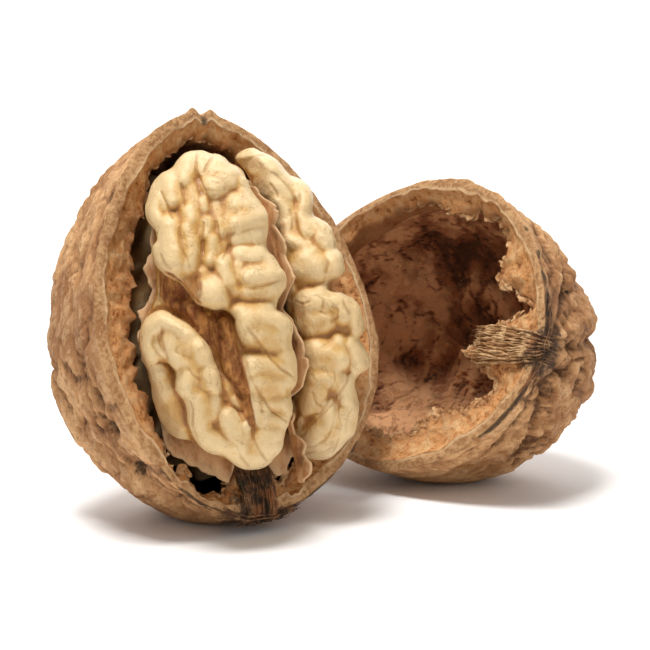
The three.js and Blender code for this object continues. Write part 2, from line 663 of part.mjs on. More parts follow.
function floodFrom(grid, label, start, sign, name) {
  const [nx, ny, nz] = grid.size;
  const stack = [start];
  let count = 0;
  label[start] = name;
  while (stack.length > 0) {
    const n = stack.pop();
    count += 1;
    const i = n % nx;
    const j = Math.floor(n / nx) % ny;
    const k = Math.floor(n / (nx * ny));
    const near = [
      i > 0 ? n - 1 : -1,
      i + 1 < nx ? n + 1 : -1,
      j > 0 ? n - nx : -1,
      j + 1 < ny ? n + nx : -1,
      k > 0 ? n - nx * ny : -1,
      k + 1 < nz ? n + nx * ny : -1,
    ];
    near.forEach((m) => {
      if (m >= 0 && label[m] === 0 && grid.values[m] * sign > 0) {
        label[m] = name;
        stack.push(m);
      }
    });
  }
  return count;
}

// One vertex for each cell that the surface crosses, at the mean of its edge crossings.
function netVertices(grid) {
  const points = [];
  const nameOf = new Map();
  for (let k = 0; k + 1 < grid.size[2]; k += 1) {
    for (let j = 0; j + 1 < grid.size[1]; j += 1) {
      for (let i = 0; i + 1 < grid.size[0]; i += 1) {
        const mask = cellMask(grid, i, j, k);
        if (mask !== 0 && mask !== 255) {
          nameOf.set(grid.at(i, j, k), points.length);
          points.push(cellVertex(grid, i, j, k));
        }
      }
    }
  }
  return { points, nameOf };
}

function cellVertex(grid, i, j, k) {
  const sum = [0, 0, 0];
  let count = 0;
  cubeEdges.forEach(([a, b]) => {
    const pa = corners[a];
    const pb = corners[b];
    const va = grid.values[grid.at(i + pa[0], j + pa[1], k + pa[2])];
    const vb = grid.values[grid.at(i + pb[0], j + pb[1], k + pb[2])];
    if (va < 0 !== vb < 0) {
      const t = clamp(va / (va - vb), 0.08, 0.92);
      sum[0] += pa[0] + (pb[0] - pa[0]) * t;
      sum[1] += pa[1] + (pb[1] - pa[1]) * t;
      sum[2] += pa[2] + (pb[2] - pa[2]) * t;
      count += 1;
    }
  });
  const ijk = [i, j, k];
  return sum.map((s, n) => grid.low[n] + grid.cell * (ijk[n] + s / count));
}

// Two triangles round each grid edge that runs from inside to outside.
function netFaces(grid, nameOf) {
  const index = [];
  const steps = [1, grid.size[0], grid.size[0] * grid.size[1]];
  for (let k = 1; k + 1 < grid.size[2]; k += 1) {
    for (let j = 1; j + 1 < grid.size[1]; j += 1) {
      for (let i = 1; i + 1 < grid.size[0]; i += 1) {
        const n = grid.at(i, j, k);
        for (let axis = 0; axis < 3; axis += 1) {
          const inA = grid.values[n] < 0;
          const inB = grid.values[n + steps[axis]] < 0;
          if (inA !== inB) {
            const u = steps[(axis + 1) % 3];
            const v = steps[(axis + 2) % 3];
            const ring = [n, n - u, n - u - v, n - v].map((m) => nameOf.get(m));
            const quad = inA ? ring : ring.reverse();
            index.push(quad[0], quad[1], quad[2], quad[0], quad[2], quad[3]);
          }
        }
      }
    }
  }
  return index;
}

function netSolid(field, low, high, cell) {
  const grid = sampleGrid(field, low, high, cell);
  const { points, nameOf } = netVertices(grid);
  const index = netFaces(grid, nameOf);
  const positions = points.flatMap((p) => toWorld(fullAxes, p).toArray());
  return closedGeometry(positions, index);
}

// A thin sheet: one face, a turned edge and the other face, as a stack of rings.
function sheetRings(faceRings, thickness, normal) {
  const upper = faceRings.map((ring) => ring.map((p) => shifted(p, normal, thickness / 2)));
  const lower = faceRings.map((ring) => ring.map((p) => shifted(p, normal, -thickness / 2)));
  return [...lower, ...upper.reverse()];
}

function shifted(p, normal, by) {
  return p.map((v, i) => v + normal[i] * by);
}

// The papery partition, with a ragged edge that shows at the left and lobes at the bottom.
function septumSheet() {
  const shares = [0.45, 0.8, 1.0];
  const rings = shares.map((share) => {
    const ring = [];
    for (let i = 0; i < sheetAround; i += 1) {
      const angle = (2 * Math.PI * i) / sheetAround;
      const ragged = 0.3 * Math.sin(11 * angle) + 0.35 * Math.sin(23 * angle + 1) - 0.5;
      const width = Math.max(flangeWidth(fullHalf, angle), wallThickness + 0.6);
      const r = share * (seamRadius(fullHalf, angle) - width - fitGap + ragged);
      const x = r * Math.cos(angle);
      const z = r * Math.sin(angle);
      ring.push([x, partitionLevel(x, z), z]);
    }
    return ring;
  });
  const stack = sheetRings(rings, partitionThickness, [0, 1, 0]);
  const middle = partitionLevel(0, 0);
  const first = [0, middle - partitionThickness / 2, 0];
  const last = [0, middle + partitionThickness / 2, 0];
  return skinOfRings(stack, first, last, (p) => toWorld(fullAxes, p).toArray());
}

// The web: an upright strip in the cleft, from a ragged top edge down to the kernel's waist.
function septumWeb() {
  const floor = 3.1;
  const outline = [];
  const low = -15.6;
  const high = 15.0;
  const count = 50;
  for (let i = 0; i <= count; i += 1) {
    const z = low + ((high - low) * i) / count;
    const top = Math.max(lookUp(webHeights, z), floor + 0.7);
    outline.push([z, top]);
  }
  const positions = [];
  const index = [];
  const rows = 3;
  [1, -1].forEach((side) => {
    outline.forEach(([z, top]) => {
      for (let r = 0; r < rows; r += 1) {
        const y = floor + ((top - floor) * r) / (rows - 1);
        const x = webPlace(z) + (side * webThickness) / 2 + 0.12 * Math.sin(0.9 * z + 0.5 * y);
        positions.push(...toWorld(fullAxes, [x, y, z]).toArray());
      }
    });
  });
  const half = outline.length * rows;
  const quad = (a, b, c, d) => index.push(a, b, c, a, c, d);
  for (let i = 0; i < count; i += 1) {
    for (let r = 0; r + 1 < rows; r += 1) {
      const a = i * rows + r;
      quad(a, a + 1, a + rows + 1, a + rows);
      quad(half + a, half + a + rows, half + a + rows + 1, half + a + 1);
    }
    const bottom = i * rows;
    const top = bottom + rows - 1;
    quad(bottom, bottom + rows, half + bottom + rows, half + bottom);
    quad(top, half + top, half + top + rows, top + rows);
  }
  for (let r = 0; r + 1 < rows; r += 1) {
    const end = count * rows + r;
    quad(r, half + r, half + r + 1, r + 1);
    quad(end, end + 1, half + end + 1, half + end);
  }
  return closedGeometry(positions, index);
}

function addPiece(group, name, geometry, color, roughness) {
  const material = new THREE.MeshStandardMaterial({ color, roughness, metalness: 0 });
  const mesh = new THREE.Mesh(geometry, material);
  mesh.name = name;
  group.add(mesh);
  return mesh;
}

const walnut = new THREE.Group();
addPiece(walnut, 'filled_shell_half', shellHalf(fullHalf), colours.fullShell, 0.8);
addPiece(walnut, 'empty_shell_half', shellHalf(emptyHalf), colours.emptyShell, 0.8);
addPiece(
  walnut,
  'kernel_front',
  netSolid(frontKernelField, [-17, -4, -17], [14, 14, 20], kernelCell),
  colours.kernel,
  0.45,
);
addPiece(
  walnut,
  'kernel_back',
  netSolid(backKernelField, [-19, -18, -19], [17, 2, 21], backCell),
  colours.backKernel,
  0.55,
);
addPiece(walnut, 'septum_sheet', septumSheet(), colours.partition, 0.8);
addPiece(walnut, 'septum_web', septumWeb(), colours.web, 0.7);

// The origin is the middle of the box's underside.
const box = new THREE.Box3().setFromObject(walnut);
walnut.position.set(-(box.min.x + box.max.x) / 2, -(box.min.y + box.max.y) / 2, -box.min.z);
walnut.updateMatrixWorld(true);

export default walnut;
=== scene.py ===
import math
import bpy
import numpy as np
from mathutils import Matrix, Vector


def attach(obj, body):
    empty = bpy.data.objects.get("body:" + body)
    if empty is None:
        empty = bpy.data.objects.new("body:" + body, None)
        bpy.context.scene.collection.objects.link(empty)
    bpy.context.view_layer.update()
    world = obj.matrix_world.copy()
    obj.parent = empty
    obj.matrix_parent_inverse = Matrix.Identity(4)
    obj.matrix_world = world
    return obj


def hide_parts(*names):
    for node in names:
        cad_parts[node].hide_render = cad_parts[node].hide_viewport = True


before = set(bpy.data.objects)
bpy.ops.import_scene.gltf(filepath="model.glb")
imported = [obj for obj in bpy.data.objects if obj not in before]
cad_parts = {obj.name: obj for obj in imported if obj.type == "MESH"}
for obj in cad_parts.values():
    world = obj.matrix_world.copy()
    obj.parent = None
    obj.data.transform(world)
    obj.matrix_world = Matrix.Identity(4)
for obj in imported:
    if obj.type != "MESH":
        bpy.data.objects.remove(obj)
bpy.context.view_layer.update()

# Millimetres in a frame whose X = 0 is straight ahead of the camera, then moved to the part's origin.
originShift = np.array([0.9985, 7.0879, 0.0])
millimetre = 0.001
farAway = 1e9
view = {"distance": 155.0, "height": 37.9, "leanDegrees": 6.86, "focalPixels": 1500.0, "framePixels": 650.0,
        "sensor": 36.0, "clipStart": 0.01}


def clampTo(value, low, high):
    return np.minimum(high, np.maximum(low, value))


def smoothStep(low, high, value):
    t = clampTo((value - low) / (high - low), 0.0, 1.0)
    return t * t * (3.0 - 2.0 * t)


def bell(value, at, width):
    return np.exp(-(((value - at) / width) ** 2))


def columns(x, y, z):
    return np.stack(np.broadcast_arrays(x, y, z), axis=1)


def smoothMin(a, b, width):
    h = clampTo(0.5 + 0.5 * (b - a) / width, 0.0, 1.0)
    return b + (a - b) * h - width * h * (1.0 - h)


def cornerBlend(table, cell, t):
    # The value between the eight samples round each point.
    total = np.zeros(len(cell))
    for corner in range(8):
        step = np.array([corner & 1, (corner >> 1) & 1, corner >> 2])
        index = (cell + step) % np.array(table.shape)
        weight = np.prod(np.where(step == 1, t, 1.0 - t), axis=1)
        total += weight * table[index[:, 0], index[:, 1], index[:, 2]]
    return total


# Repeatable noise, one table of random values for each seed.
noiseTables = {}


def latticeNoise(points, size, seed):
    if seed not in noiseTables:
        noiseTables[seed] = np.random.default_rng(seed).random((32, 32, 32)) * 2.0 - 1.0
    table = noiseTables[seed]
    scaled = points / size + 100.0
    cell = np.floor(scaled).astype(int)
    t = scaled - cell
    return cornerBlend(table, cell, t * t * (3.0 - 2.0 * t))


def roughNoise(points, size, seed, octaves=3):
    total = np.zeros(len(points))
    strength = 1.0
    for octave in range(octaves):
        total += strength * latticeNoise(points, size / 2 ** octave, seed + octave)
        strength *= 0.5
    return total


# The two halves of one shell. Each has its middle, the way its tip points and the way it opens, and
# its seam flange as (degrees round the seam, width inwards). The stalk rest is its first and last
# degrees and extra thickness, a pit is its place and radius, a ledge its height, width and line.
nut = {"length": 42.0, "width": 35.0, "tipReach": 23.6, "wall": 1.5, "flangeThickness": 0.75,
       "fitGap": 0.45, "tipFullness": 1.79, "stemFullness": 1.83, "backFullness": 2.9}

filledHalf = {
    "name": "filled_shell_half",
    "middle": (-9.4, -6.2, 19.0), "tipAxis": (-0.14, 0.304, 0.943), "opening": (0.615, -0.719, 0.323),
    "nearReach": 15.6, "farReach": 19.4, "depth": 18.3, "seed": 0.4, "noiseSeed": 11,
    "flange": [
        (0, 4.3), (10, 4.5), (20, 4.9), (30, 5.0), (40, 4.2), (50, 4.6), (60, 4.0), (65, 3.6), (70, 2.9),
        (80, 3.3), (85, 2.4), (90, 2.7), (95, 2.3), (100, 2.6), (104, 3.3), (112, 3.0), (125, 3.6),
        (150, 4.0), (180, 4.0), (210, 4.0), (235, 4.0), (248, 2.6), (254, 2.3), (256.5, 4.7), (262, 5.3),
        (268, 5.4), (274, 5.1), (277, 3.0), (279, 1.9), (284, 1.5), (290, 1.2), (300, 1.2), (306, 1.7),
        (310, 2.5), (320, 3.4), (330, 3.8), (340, 4.0), (350, 4.2), (360, 4.3)],
    "stalk": (256, 276, 1.1), "stemFurrows": (18, 47, 72, 98, 131, 160), "ledges": [], "detail": "filled",
    "pits": [(15.1, -5.1, -1.9, 1.3), (14.7, -2.5, -5.5, 1.5), (13.4, -2.9, -8.7, 1.7), (10.2, -4.5, -12.9, 1.5),
             (5.2, -1.6, -17.0, 1.2), (-3.1, -0.8, -17.3, 1.2), (11.7, -2.7, 14.2, 0.9), (12.9, -7.3, 10.3, 0.9),
             (14.2, -8.4, 1.5, 1.1)],
}
emptyHalf = {
    "name": "empty_shell_half",
    "middle": (9.5, 10.0, 17.05), "tipAxis": (-0.691, 0.723, 0.002), "opening": (-0.671, -0.643, 0.369),
    "nearReach": 15.5, "farReach": 18.4, "depth": 19.6, "seed": 2.1, "noiseSeed": 47,
    "flange": [
        (0, 3.8), (15, 4.1), (30, 4.0), (60, 3.0), (90, 2.6), (110, 2.2), (130, 2.0), (150, 2.1),
        (168, 2.0), (174, 2.3), (180, 3.9), (184, 3.4), (190, 3.4), (196, 2.4), (205, 2.1), (214, 2.3),
        (220, 3.4), (225, 4.6), (230, 6.2), (235, 5.4), (240, 5.2), (244, 4.0), (249, 2.7), (254, 2.6),
        (257, 5.6), (260, 7.4), (263, 9.2), (266, 9.6), (270, 9.9), (274, 10.4), (277, 10.7), (279, 9.4),
        (281, 8.2), (283, 6.4), (286, 4.6), (290, 3.9), (300, 4.4), (310, 4.9), (320, 5.3), (330, 5.6),
        (340, 4.6), (350, 4.0), (360, 3.8)],
    "stalk": (256, 284, 1.0), "stemFurrows": (20, 42, 80, 110, 148, 166), "detail": "empty",
    "pits": [(0.6, -6.2, -18.0, 0.9), (4.4, -3.9, -17.0, 1.1), (6.7, -6.3, -15.4, 0.9), (-8.5, -7.1, -15.0, 0.9)],
    "ledges": [
        (1.7, 1.5, [(-7.4, -6.2, 17.8), (-8.3, -8.6, 16.6), (-10.0, -10.4, 13.7)]),
        (1.0, 1.2, [(-10.9, -8.3, 13.6), (-12.7, -6.6, 12.0), (-15.2, -5.2, 6.8)]),
        (1.0, 1.2, [(-15.2, -5.2, 6.8), (-15.6, -7.6, 4.4)])],
}


def axesOf(half):
    tip = np.array(half["tipAxis"])
    tip = tip / np.linalg.norm(tip)
    facing = np.array(half["opening"])
    facing = facing - facing @ tip * tip
    facing = facing / np.linalg.norm(facing)
    return np.stack([np.cross(facing, tip), facing, tip])


def toPart(half, points):
    placed = np.array(half["middle"]) + points @ axesOf(half)
    placed[:, 2] = np.maximum(placed[:, 2], 0.0)
    return (placed - originShift) * millimetre


def seamRadius(half, angle):
    c = np.cos(angle)
    s = np.sin(angle)
    reach = np.where(c > 0, half["nearReach"], half["farReach"])
    length = np.where(s > 0, nut["tipReach"], nut["length"] - nut["tipReach"])
    power = np.where(s > 0, nut["tipFullness"], nut["stemFullness"])
    return (np.abs(c / reach) ** power + np.abs(s / length) ** power) ** (-1.0 / power)


def tipHorns(angle):
    degrees = np.degrees(angle)
    return 0.55 * bell(degrees, 87.2, 1.7) + 0.55 * bell(degrees, 92.8, 1.7) - 0.5 * bell(degrees, 90, 1.2)


def domeRadius(half, angle, lean):
    rim = seamRadius(half, angle) + tipHorns(angle) * smoothStep(1.2, 1.5, lean)
    power = nut["backFullness"]
    return ((np.sin(lean) / rim) ** power + (np.abs(np.cos(lean)) / half["depth"]) ** power) ** (-1.0 / power)


def flangeWidth(half, angle):
    table = np.array(half["flange"])
    return np.interp(np.degrees(angle) % 360.0, table[:, 0], table[:, 1])


def stalkShare(half, angle):
    low, high, _ = half["stalk"]
    degrees = np.degrees(angle) % 360.0
    return smoothStep(low - 3, low + 2, degrees) * smoothStep(high + 3, high - 2, degrees)


def lineDistance(points, line):
    nearest = np.full(len(points), farAway)
    for a, b in zip(np.array(line[:-1]), np.array(line[1:])):
        t = clampTo((points - a) @ (b - a) / ((b - a) @ (b - a)), 0.0, 1.0)
        nearest = np.minimum(nearest, np.linalg.norm(points - a - t[:, None] * (b - a), axis=1))
    return nearest


def stemFurrowDepth(half, p):
    turn = np.degrees(np.arctan2(-p[:, 1], p[:, 0]))
    away = np.hypot(p[:, 0], p[:, 1])
    fade = smoothStep(9.0, 13.0, -p[:, 2]) * smoothStep(0.5, 2.0, away)
    depth = np.zeros(len(p))
    for at in half["stemFurrows"]:
        depth = np.maximum(depth, 0.5 * bell(np.radians(turn - at) * away, 0.0, 0.8))
    return fade * depth


def outerRelief(half, p):
    seed = half["seed"]
    x, y, z = p.T
    turn = np.arctan2(-y, x)
    sway = 0.7 * np.sin(0.21 * z + seed) + 0.4 * np.sin(0.47 * z + 2.2 * seed + x * 0.1)
    ridges = 0.26 * np.sin(10 * turn + sway) + 0.16 * np.sin(17 * turn - 1.6 * sway + seed)
    lumps = 0.3 * np.sin(0.42 * x + seed) * np.sin(0.36 * y + 1.1) * np.sin(0.33 * z + 2.1 * seed)
    away = np.hypot(x, y)
    return ridges * smoothStep(0.0, 9.0, away) + lumps - stemFurrowDepth(half, p)


def innerRelief(half, p):
    seed = half["seed"] + 1.7
    x, y, z = p.T
    wrinkles = 0.22 * np.sin(0.62 * x + seed + 0.8 * np.sin(0.3 * z)) * np.sin(0.5 * z + 0.4 * y)
    wrinkles = wrinkles + 0.12 * np.sin(1.1 * y + 0.9 * z + seed)
    raised = np.zeros(len(p))
    for height, width, line in half["ledges"]:
        raised = np.maximum(raised, height * bell(lineDistance(p, line), 0.0, width))
    return wrinkles - raised


# Finer wear than the solids carry: lumps parted by furrows, pits, wrinkles and torn papery layers.
shellDetail = {
    "filled": {"around": 500, "outerRings": 128, "bandRings": 46, "lipRings": 4, "innerRings": 18},
    "empty": {"around": 460, "outerRings": 82, "bandRings": 42, "lipRings": 4, "innerRings": 84},
    "lump": 0.2, "furrow": 0.46, "fineFurrow": 0.22, "pit": 0.5, "wrinkle": 0.17, "streak": 0.13,
    "bandRough": 0.24, "tornEdge": 0.55, "plateStep": 0.36, "stripShare": 0.4, "innerLean": math.radians(77),
}
# The second mark of a shell says which zone a point is in; 0 is the outside.
zones = {"strip": 0.25, "band": 0.5, "lip": 0.75, "inner": 1.0}


def cellGap(points, size, seed):
    # How far a point is from the line between its two nearest scattered spots.
    if ("spots", seed) not in noiseTables:
        noiseTables["spots", seed] = np.random.default_rng(seed).random((16, 16, 16, 3))
    table = noiseTables["spots", seed]
    scaled = points / size + 64.0
    cell = np.floor(scaled).astype(int)
    first = np.full(len(points), 9.0)
    second = np.full(len(points), 9.0)
    for corner in range(27):
        spotCell = cell + np.array([corner % 3, corner // 3 % 3, corner // 9]) - 1
        i, j, k = (spotCell % 16).T
        gap = np.linalg.norm(scaled - spotCell - table[i, j, k], axis=1)
        second = np.minimum(second, np.maximum(first, gap))
        first = np.minimum(first, gap)
    return (second - first) * size


def furrowNet(p, seed):
    warp = np.stack([roughNoise(p, 4.0, seed + 4 * k, 3) for k in range(3)], axis=1)
    broad = cellGap(p * np.array([1.0, 1.0, 0.34]) + 2.2 * warp, 4.4, seed + 12)
    fine = cellGap(p * np.array([1.0, 1.0, 0.55]) + 1.7 * warp, 2.1, seed + 13)
    gate = smoothStep(-0.5, 0.35, latticeNoise(p, 5.0, seed + 14) + 0.4 * latticeNoise(p, 2.0, seed + 15))
    return broad, fine, gate


def pitMask(half, p, seed):
    spots = latticeNoise(p, 1.7, seed + 8)
    gate = smoothStep(0.0, 0.5, latticeNoise(p, 6.0, seed + 9))
    small = smoothStep(0.5, 0.72, spots) * gate
    placed = np.zeros(len(p))
    for x, y, z, radius in half["pits"]:
        ragged = np.linalg.norm((p - np.array([x, y, z])) * np.array([1.0, 1.0, 0.75]), axis=1)
        ragged = ragged + 0.8 * roughNoise(p, 1.3, seed + 10)
        placed = np.maximum(placed, smoothStep(radius, radius * 0.2, ragged * 1.15))
    return small, placed


def seamAngles(count):
    u = 2.0 * math.pi * np.arange(count) / count
    return u + 0.28 * np.sin(2.0 * u)


def onDome(angle, lean, radius):
    # Lean is 0 at the middle of the shell's back and a right angle at the seam.
    out = radius * np.sin(lean)
    return columns(out * np.cos(angle), -radius * np.cos(lean), out * np.sin(angle))


def sutureShare(p, seed):
    # The dark line along the seam's outer edge, strongest towards the stem.
    broken = 4.0 * latticeNoise(p, 3.0, seed + 28) + 4.5 * roughNoise(p, 1.0, seed + 29)
    return smoothStep(-8.0, -16.0, p[:, 2] + broken) * 0.9


def outerRing(half, angle, lean):
    leans = np.full(len(angle), lean)
    smooth = domeRadius(half, angle, leans)
    p = onDome(angle, leans, smooth)
    placed = np.array(half["middle"]) + p @ axesOf(half)
    calm = smoothStep(0.3, 3.5, placed[:, 2])
    edge = smoothStep(1.57, 1.3, lean)
    seed = half["noiseSeed"]
    broad, fine, gate = furrowNet(p, seed)
    small, placedPits = pitMask(half, p, seed)
    furrow = smoothStep(0.9, 0.0, broad) * (0.2 + 0.8 * gate)
    fineFurrow = smoothStep(0.5, 0.0, fine) * (1.0 - 0.6 * gate)
    lump = 1.0 - smoothStep(0.0, 2.4, broad)
    edgeCalm = 0.3 + 0.7 * edge
    detail = shellDetail
    carved = detail["lump"] * lump + detail["furrow"] * furrow + detail["fineFurrow"] * fineFurrow
    carved = carved + detail["pit"] * small + 0.8 * placedPits
    skin = detail["wrinkle"] * roughNoise(p * np.array([1.0, 1.0, 0.6]), 1.5, seed + 20, 4)
    unrolled = columns(2.4 * np.cos(angle), 2.4 * np.sin(angle), 17.0 * leans)
    streak = detail["streak"] * roughNoise(unrolled, 0.9, seed + 24, 3) * smoothStep(0.75, 1.25, lean)
    relief = outerRelief(half, p) * calm * edge + (skin + streak - carved * edgeCalm) * calm
    relief = relief - 0.5 * stemFurrowDepth(half, p) * calm
    p = onDome(angle, leans, smooth + relief)
    line = smoothStep(0.5, 0.0, broad) * gate
    rays = stemFurrowDepth(half, onDome(angle, leans, smooth))
    # Painted shade and highlight: deep is how far down the relief a point lies, and the finish paints the furrows,
    # pits and stem rays darker and the raised lumps paler.
    deep = 0.42 * line + 0.3 * furrow + 0.36 * fineFurrow + 0.7 * small - 1.4 * streak - 1.1 * skin + 1.0 * rays
    hollow = clampTo(deep, 0.0, 1.0)
    tipStain = 0.75 * bell(np.degrees(angle), 68, 11) * bell(leans, 1.43, 0.045)
    tipStain = tipStain * (0.6 + latticeNoise(p, 1.2, seed + 31))
    # The placed pits are marked for near-black as painted shade; the suture and the tip stain are dark marks of their
    # own.
    dark = np.maximum(0.8 * placedPits, sutureShare(p, seed) * smoothStep(1.52, 1.565, lean))
    return p, hollow * calm, clampTo(np.maximum(dark, tipStain), 0.0, 1.0)


def tornPlates(p, seed):
    # Papery layers that end in ragged steps; the second result marks the step edges for painted highlight.
    level = latticeNoise(p, 6.5, seed) + 0.6 * latticeNoise(p, 3.2, seed + 1) + 0.22 * roughNoise(p, 1.3, seed + 3)
    steps = (-0.45, -0.05, 0.3, 0.62)
    height = sum(smoothStep(at, at + 0.07, level) for at in steps)
    edge = sum(bell(level, at + 0.04, 0.06) for at in steps)
    return height, clampTo(edge, 0.0, 1.0) * smoothStep(-0.2, 0.5, latticeNoise(p, 2.8, seed + 7))


def innerRing(half, angle, lean):
    leans = np.full(len(angle), lean)
    smooth = domeRadius(half, angle, leans)
    p = onDome(angle, leans, smooth)
    seed = half["noiseSeed"] + 60
    folds = 1.3 * roughNoise(p * np.array([0.7, 1.0, 1.0]), 3.2, seed, 4)
    streaks = np.abs(latticeNoise(p * np.array([0.5, 0.8, 1.2]) + folds[:, None], 1.7, seed + 9))
    cracks = 1.0 - smoothStep(0.0, 0.12, streaks)
    plates, edge = tornPlates(p, seed + 30)
    fine = smoothStep(1.34, 1.1, lean)
    raised = fine * (0.36 * folds - 0.16 * cracks + shellDetail["plateStep"] * (plates - 1.5))
    radius = smooth - nut["wall"] - 0.35 + innerRelief(half, p) - raised
    tone = clampTo(0.5 + 0.16 * (plates - 2.0) + 0.3 * folds - 0.5 * cracks, 0.0, 1.0)
    return onDome(angle, leans, radius), tone, edge


def seamFace(half, angle, share):
    # One ring of the seam face, from 0 at its outside edge to 1 at its torn inner edge: a pale strip,
    # then a band that falls away. The second result is how far across the strip or the band it is.
    rim = seamRadius(half, angle) + tipHorns(angle)
    flat = columns(rim * np.cos(angle), 0.0, rim * np.sin(angle))
    seed = half["noiseSeed"] + 90
    torn = roughNoise(flat, 1.5, seed, 4) * shellDetail["tornEdge"]
    spikes = smoothStep(0.35, 0.9, latticeNoise(flat, 0.9, seed + 7)) * 0.5
    spikes = spikes * smoothStep(-0.1, 0.6, latticeNoise(flat, 4.0, seed + 8))
    width = np.maximum(flangeWidth(half, angle) + torn * 0.9 + spikes, 1.1)
    stripEnd = np.minimum(1.3 + 0.35 * roughNoise(flat, 3.0, seed + 4, 3), width * 0.5)
    stripShare = shellDetail["stripShare"]
    if share < stripShare:
        t = share / stripShare
        inset = stripEnd * t
        up = 0.24 * math.sin(math.pi * min(t * 1.6, 1.0) * 0.5) - 0.1 * t
        face = flat * (1.0 - inset / rim)[:, None]
        wave = 0.05 * roughNoise(face * np.array([1.6, 1.0, 1.6]), 1.0, seed + 11)
        height = up + wave * min(1.0, 5 * t)
        return columns(face[:, 0], height, face[:, 2]), t
    t = (share - stripShare) / (1.0 - stripShare)
    inset = stripEnd + 0.12 * min(t * 8, 1.0) + (width - stripEnd) * t
    face = flat * (1.0 - inset / rim)[:, None]
    drop = -0.38 * smoothStep(0.0, 0.12, t) - 1.05 * t
    rough = shellDetail["bandRough"] * roughNoise(face * np.array([1.2, 1.0, 1.2]), 1.3, seed + 15, 4)
    edgeLift = 0.25 * latticeNoise(flat, 1.4, seed + 25) * t ** 3
    height = 0.14 + drop + rough * smoothStep(0.0, 0.2, t) + edgeLift
    return columns(face[:, 0], height, face[:, 2]), t


def buildShell(half):
    # Rings from the back pole over the seam face and its inner edge to the hollow's pole.
    detail = shellDetail[half["detail"]]
    angle = seamAngles(detail["around"])
    rings = []
    marks = []
    for k in range(1, detail["outerRings"] + 1):
        lean = 0.5 * math.pi * (k / detail["outerRings"]) ** 0.95
        p, hollow, pits = outerRing(half, angle, lean)
        rings.append(p)
        marks.append(columns(hollow, 0.0, pits))
    for k in range(1, detail["bandRings"] + 1):
        share = k / detail["bandRings"]
        onStrip = share < shellDetail["stripShare"]
        p, t = seamFace(half, angle, share)
        rings.append(p)
        dark = sutureShare(p, half["noiseSeed"]) * smoothStep(0.3, 0.12, t) * onStrip
        dark = np.maximum(dark, 0.8 * bell(np.degrees(angle), 90.0, 1.6))
        marks.append(columns(t, zones["strip" if onStrip else "band"], dark))
    lip = rings[-1]
    thick = nut["flangeThickness"] + half["stalk"][2] * stalkShare(half, angle)
    first, _, _ = innerRing(half, angle, shellDetail["innerLean"])
    for k in range(1, detail["lipRings"] + 1):
        t = k / detail["lipRings"]
        under = lip + columns(0.0, -thick * min(1.0, 2 * t), 0.0)
        rings.append(under + (first - under) * max(0.0, 2 * t - 1.0) * 0.9)
        marks.append(columns(1.0, zones["lip"], 0.0 * angle))
    for k in range(detail["innerRings"], 0, -1):
        lean = shellDetail["innerLean"] * (k / detail["innerRings"]) ** 0.95
        p, tone, edge = innerRing(half, angle, lean)
        rings.append(p)
        marks.append(columns(tone, zones["inner"], edge))
    return rings, marks


def closedSkin(name, half, rings, marks):
    count = len(rings[0])
    backPole = rings[0].mean(axis=0)
    innerPole = rings[-1].mean(axis=0)
    local = np.vstack([backPole[None], *rings, innerPole[None]])
    values = np.vstack([marks[0].mean(axis=0)[None], *marks, marks[-1].mean(axis=0)[None]])
    i = np.arange(count)
    j = (i + 1) % count
    faces = [np.stack([0 * i, 1 + i, 1 + j, 1 + j], axis=1)]
    for k in range(len(rings) - 1):
        a = 1 + k * count
        b = a + count
        faces.append(np.stack([a + i, b + i, b + j, a + j], axis=1))
    last = len(local) - 1
    end = last - count
    faces.append(np.stack([end + i, 0 * i + last, end + j, end + j], axis=1))
    return makeMesh(name, toPart(half, local), np.vstack(faces), values, local)


def makeMesh(name, points, faces, values, local):
    mesh = bpy.data.meshes.new(name)
    faceList = [tuple(f) if f[2] != f[3] else tuple(f[:3]) for f in faces.tolist()]
    mesh.from_pydata(points.tolist(), [], faceList)
    mesh.polygons.foreach_set("use_smooth", np.ones(len(mesh.polygons), dtype=bool))
    marks = mesh.attributes.new("marks", "FLOAT_VECTOR", "POINT")
    marks.data.foreach_set("vector", values.astype(np.float32).ravel())
    place = mesh.attributes.new("place", "FLOAT_VECTOR", "POINT")
    place.data.foreach_set("vector", (local * millimetre).astype(np.float32).ravel())
    mesh.update()
    piece = bpy.data.objects.new(name, mesh)
    bpy.context.scene.collection.objects.link(piece)
    return piece


# The photographed view, so that folds can be placed by what is read in it.
cameraLean = math.radians(view["leanDegrees"])
lookAlong = np.array([0.0, math.cos(cameraLean), -math.sin(cameraLean)])
lookUp = np.array([0.0, math.sin(cameraLean), math.cos(cameraLean)])
cameraSpot = np.array([0.0, -view["distance"], view["height"]])


def toPicture(points):
    away = points - cameraSpot
    scale = view["focalPixels"] / (away @ lookAlong)
    half = view["framePixels"] / 2
    return half + away[:, 0] * scale, half - (away @ lookUp) * scale


# The kernel. Its folds are read in the photographed view, x to the right and y down in picture points,
# about ten to a millimetre. A fold is its rise in millimetres and a stroke of (x, y, half width).
kernelPart = {
    "cell": 0.198, "backCell": 0.42, "frontFloor": -1.15, "deepFloor": -2.9, "edgeRound": 11.0, "blend": 0.1,
    "swell": 1.28, "curve": 0.052, "rise": 1.4, "riseFrom": -1.0,
    "pictureBox": (118, 132, 392, 486), "frontBox": ((-17.0, -3.0, -16.5), (14.0, 13.5, 20.0)),
    "backBox": ((-19.0, -18.0, -19.0), (17.0, 1.5, 21.0)), "sideDepth": 0.9, "wrinkle": 0.095, "veinDepth": 0.09,
    "partition": 0.7, "web": 0.64,
}
lobeA = {"middle": (4.0, 3.0, 1.8), "reach": (9.2, 8.5, 17.4)}
lobeB = {"middle": (-8.5, 1.5, 2.7), "reach": (7.6, 8.5, 16.6)}
topB = {"middle": (-4.7, 1.4, 13.2), "reach": (4.6, 5.6, 7.0)}
waist = {"middle": (-1.6, -0.6, 2.0), "reach": (12.6, 4.4, 14.2)}

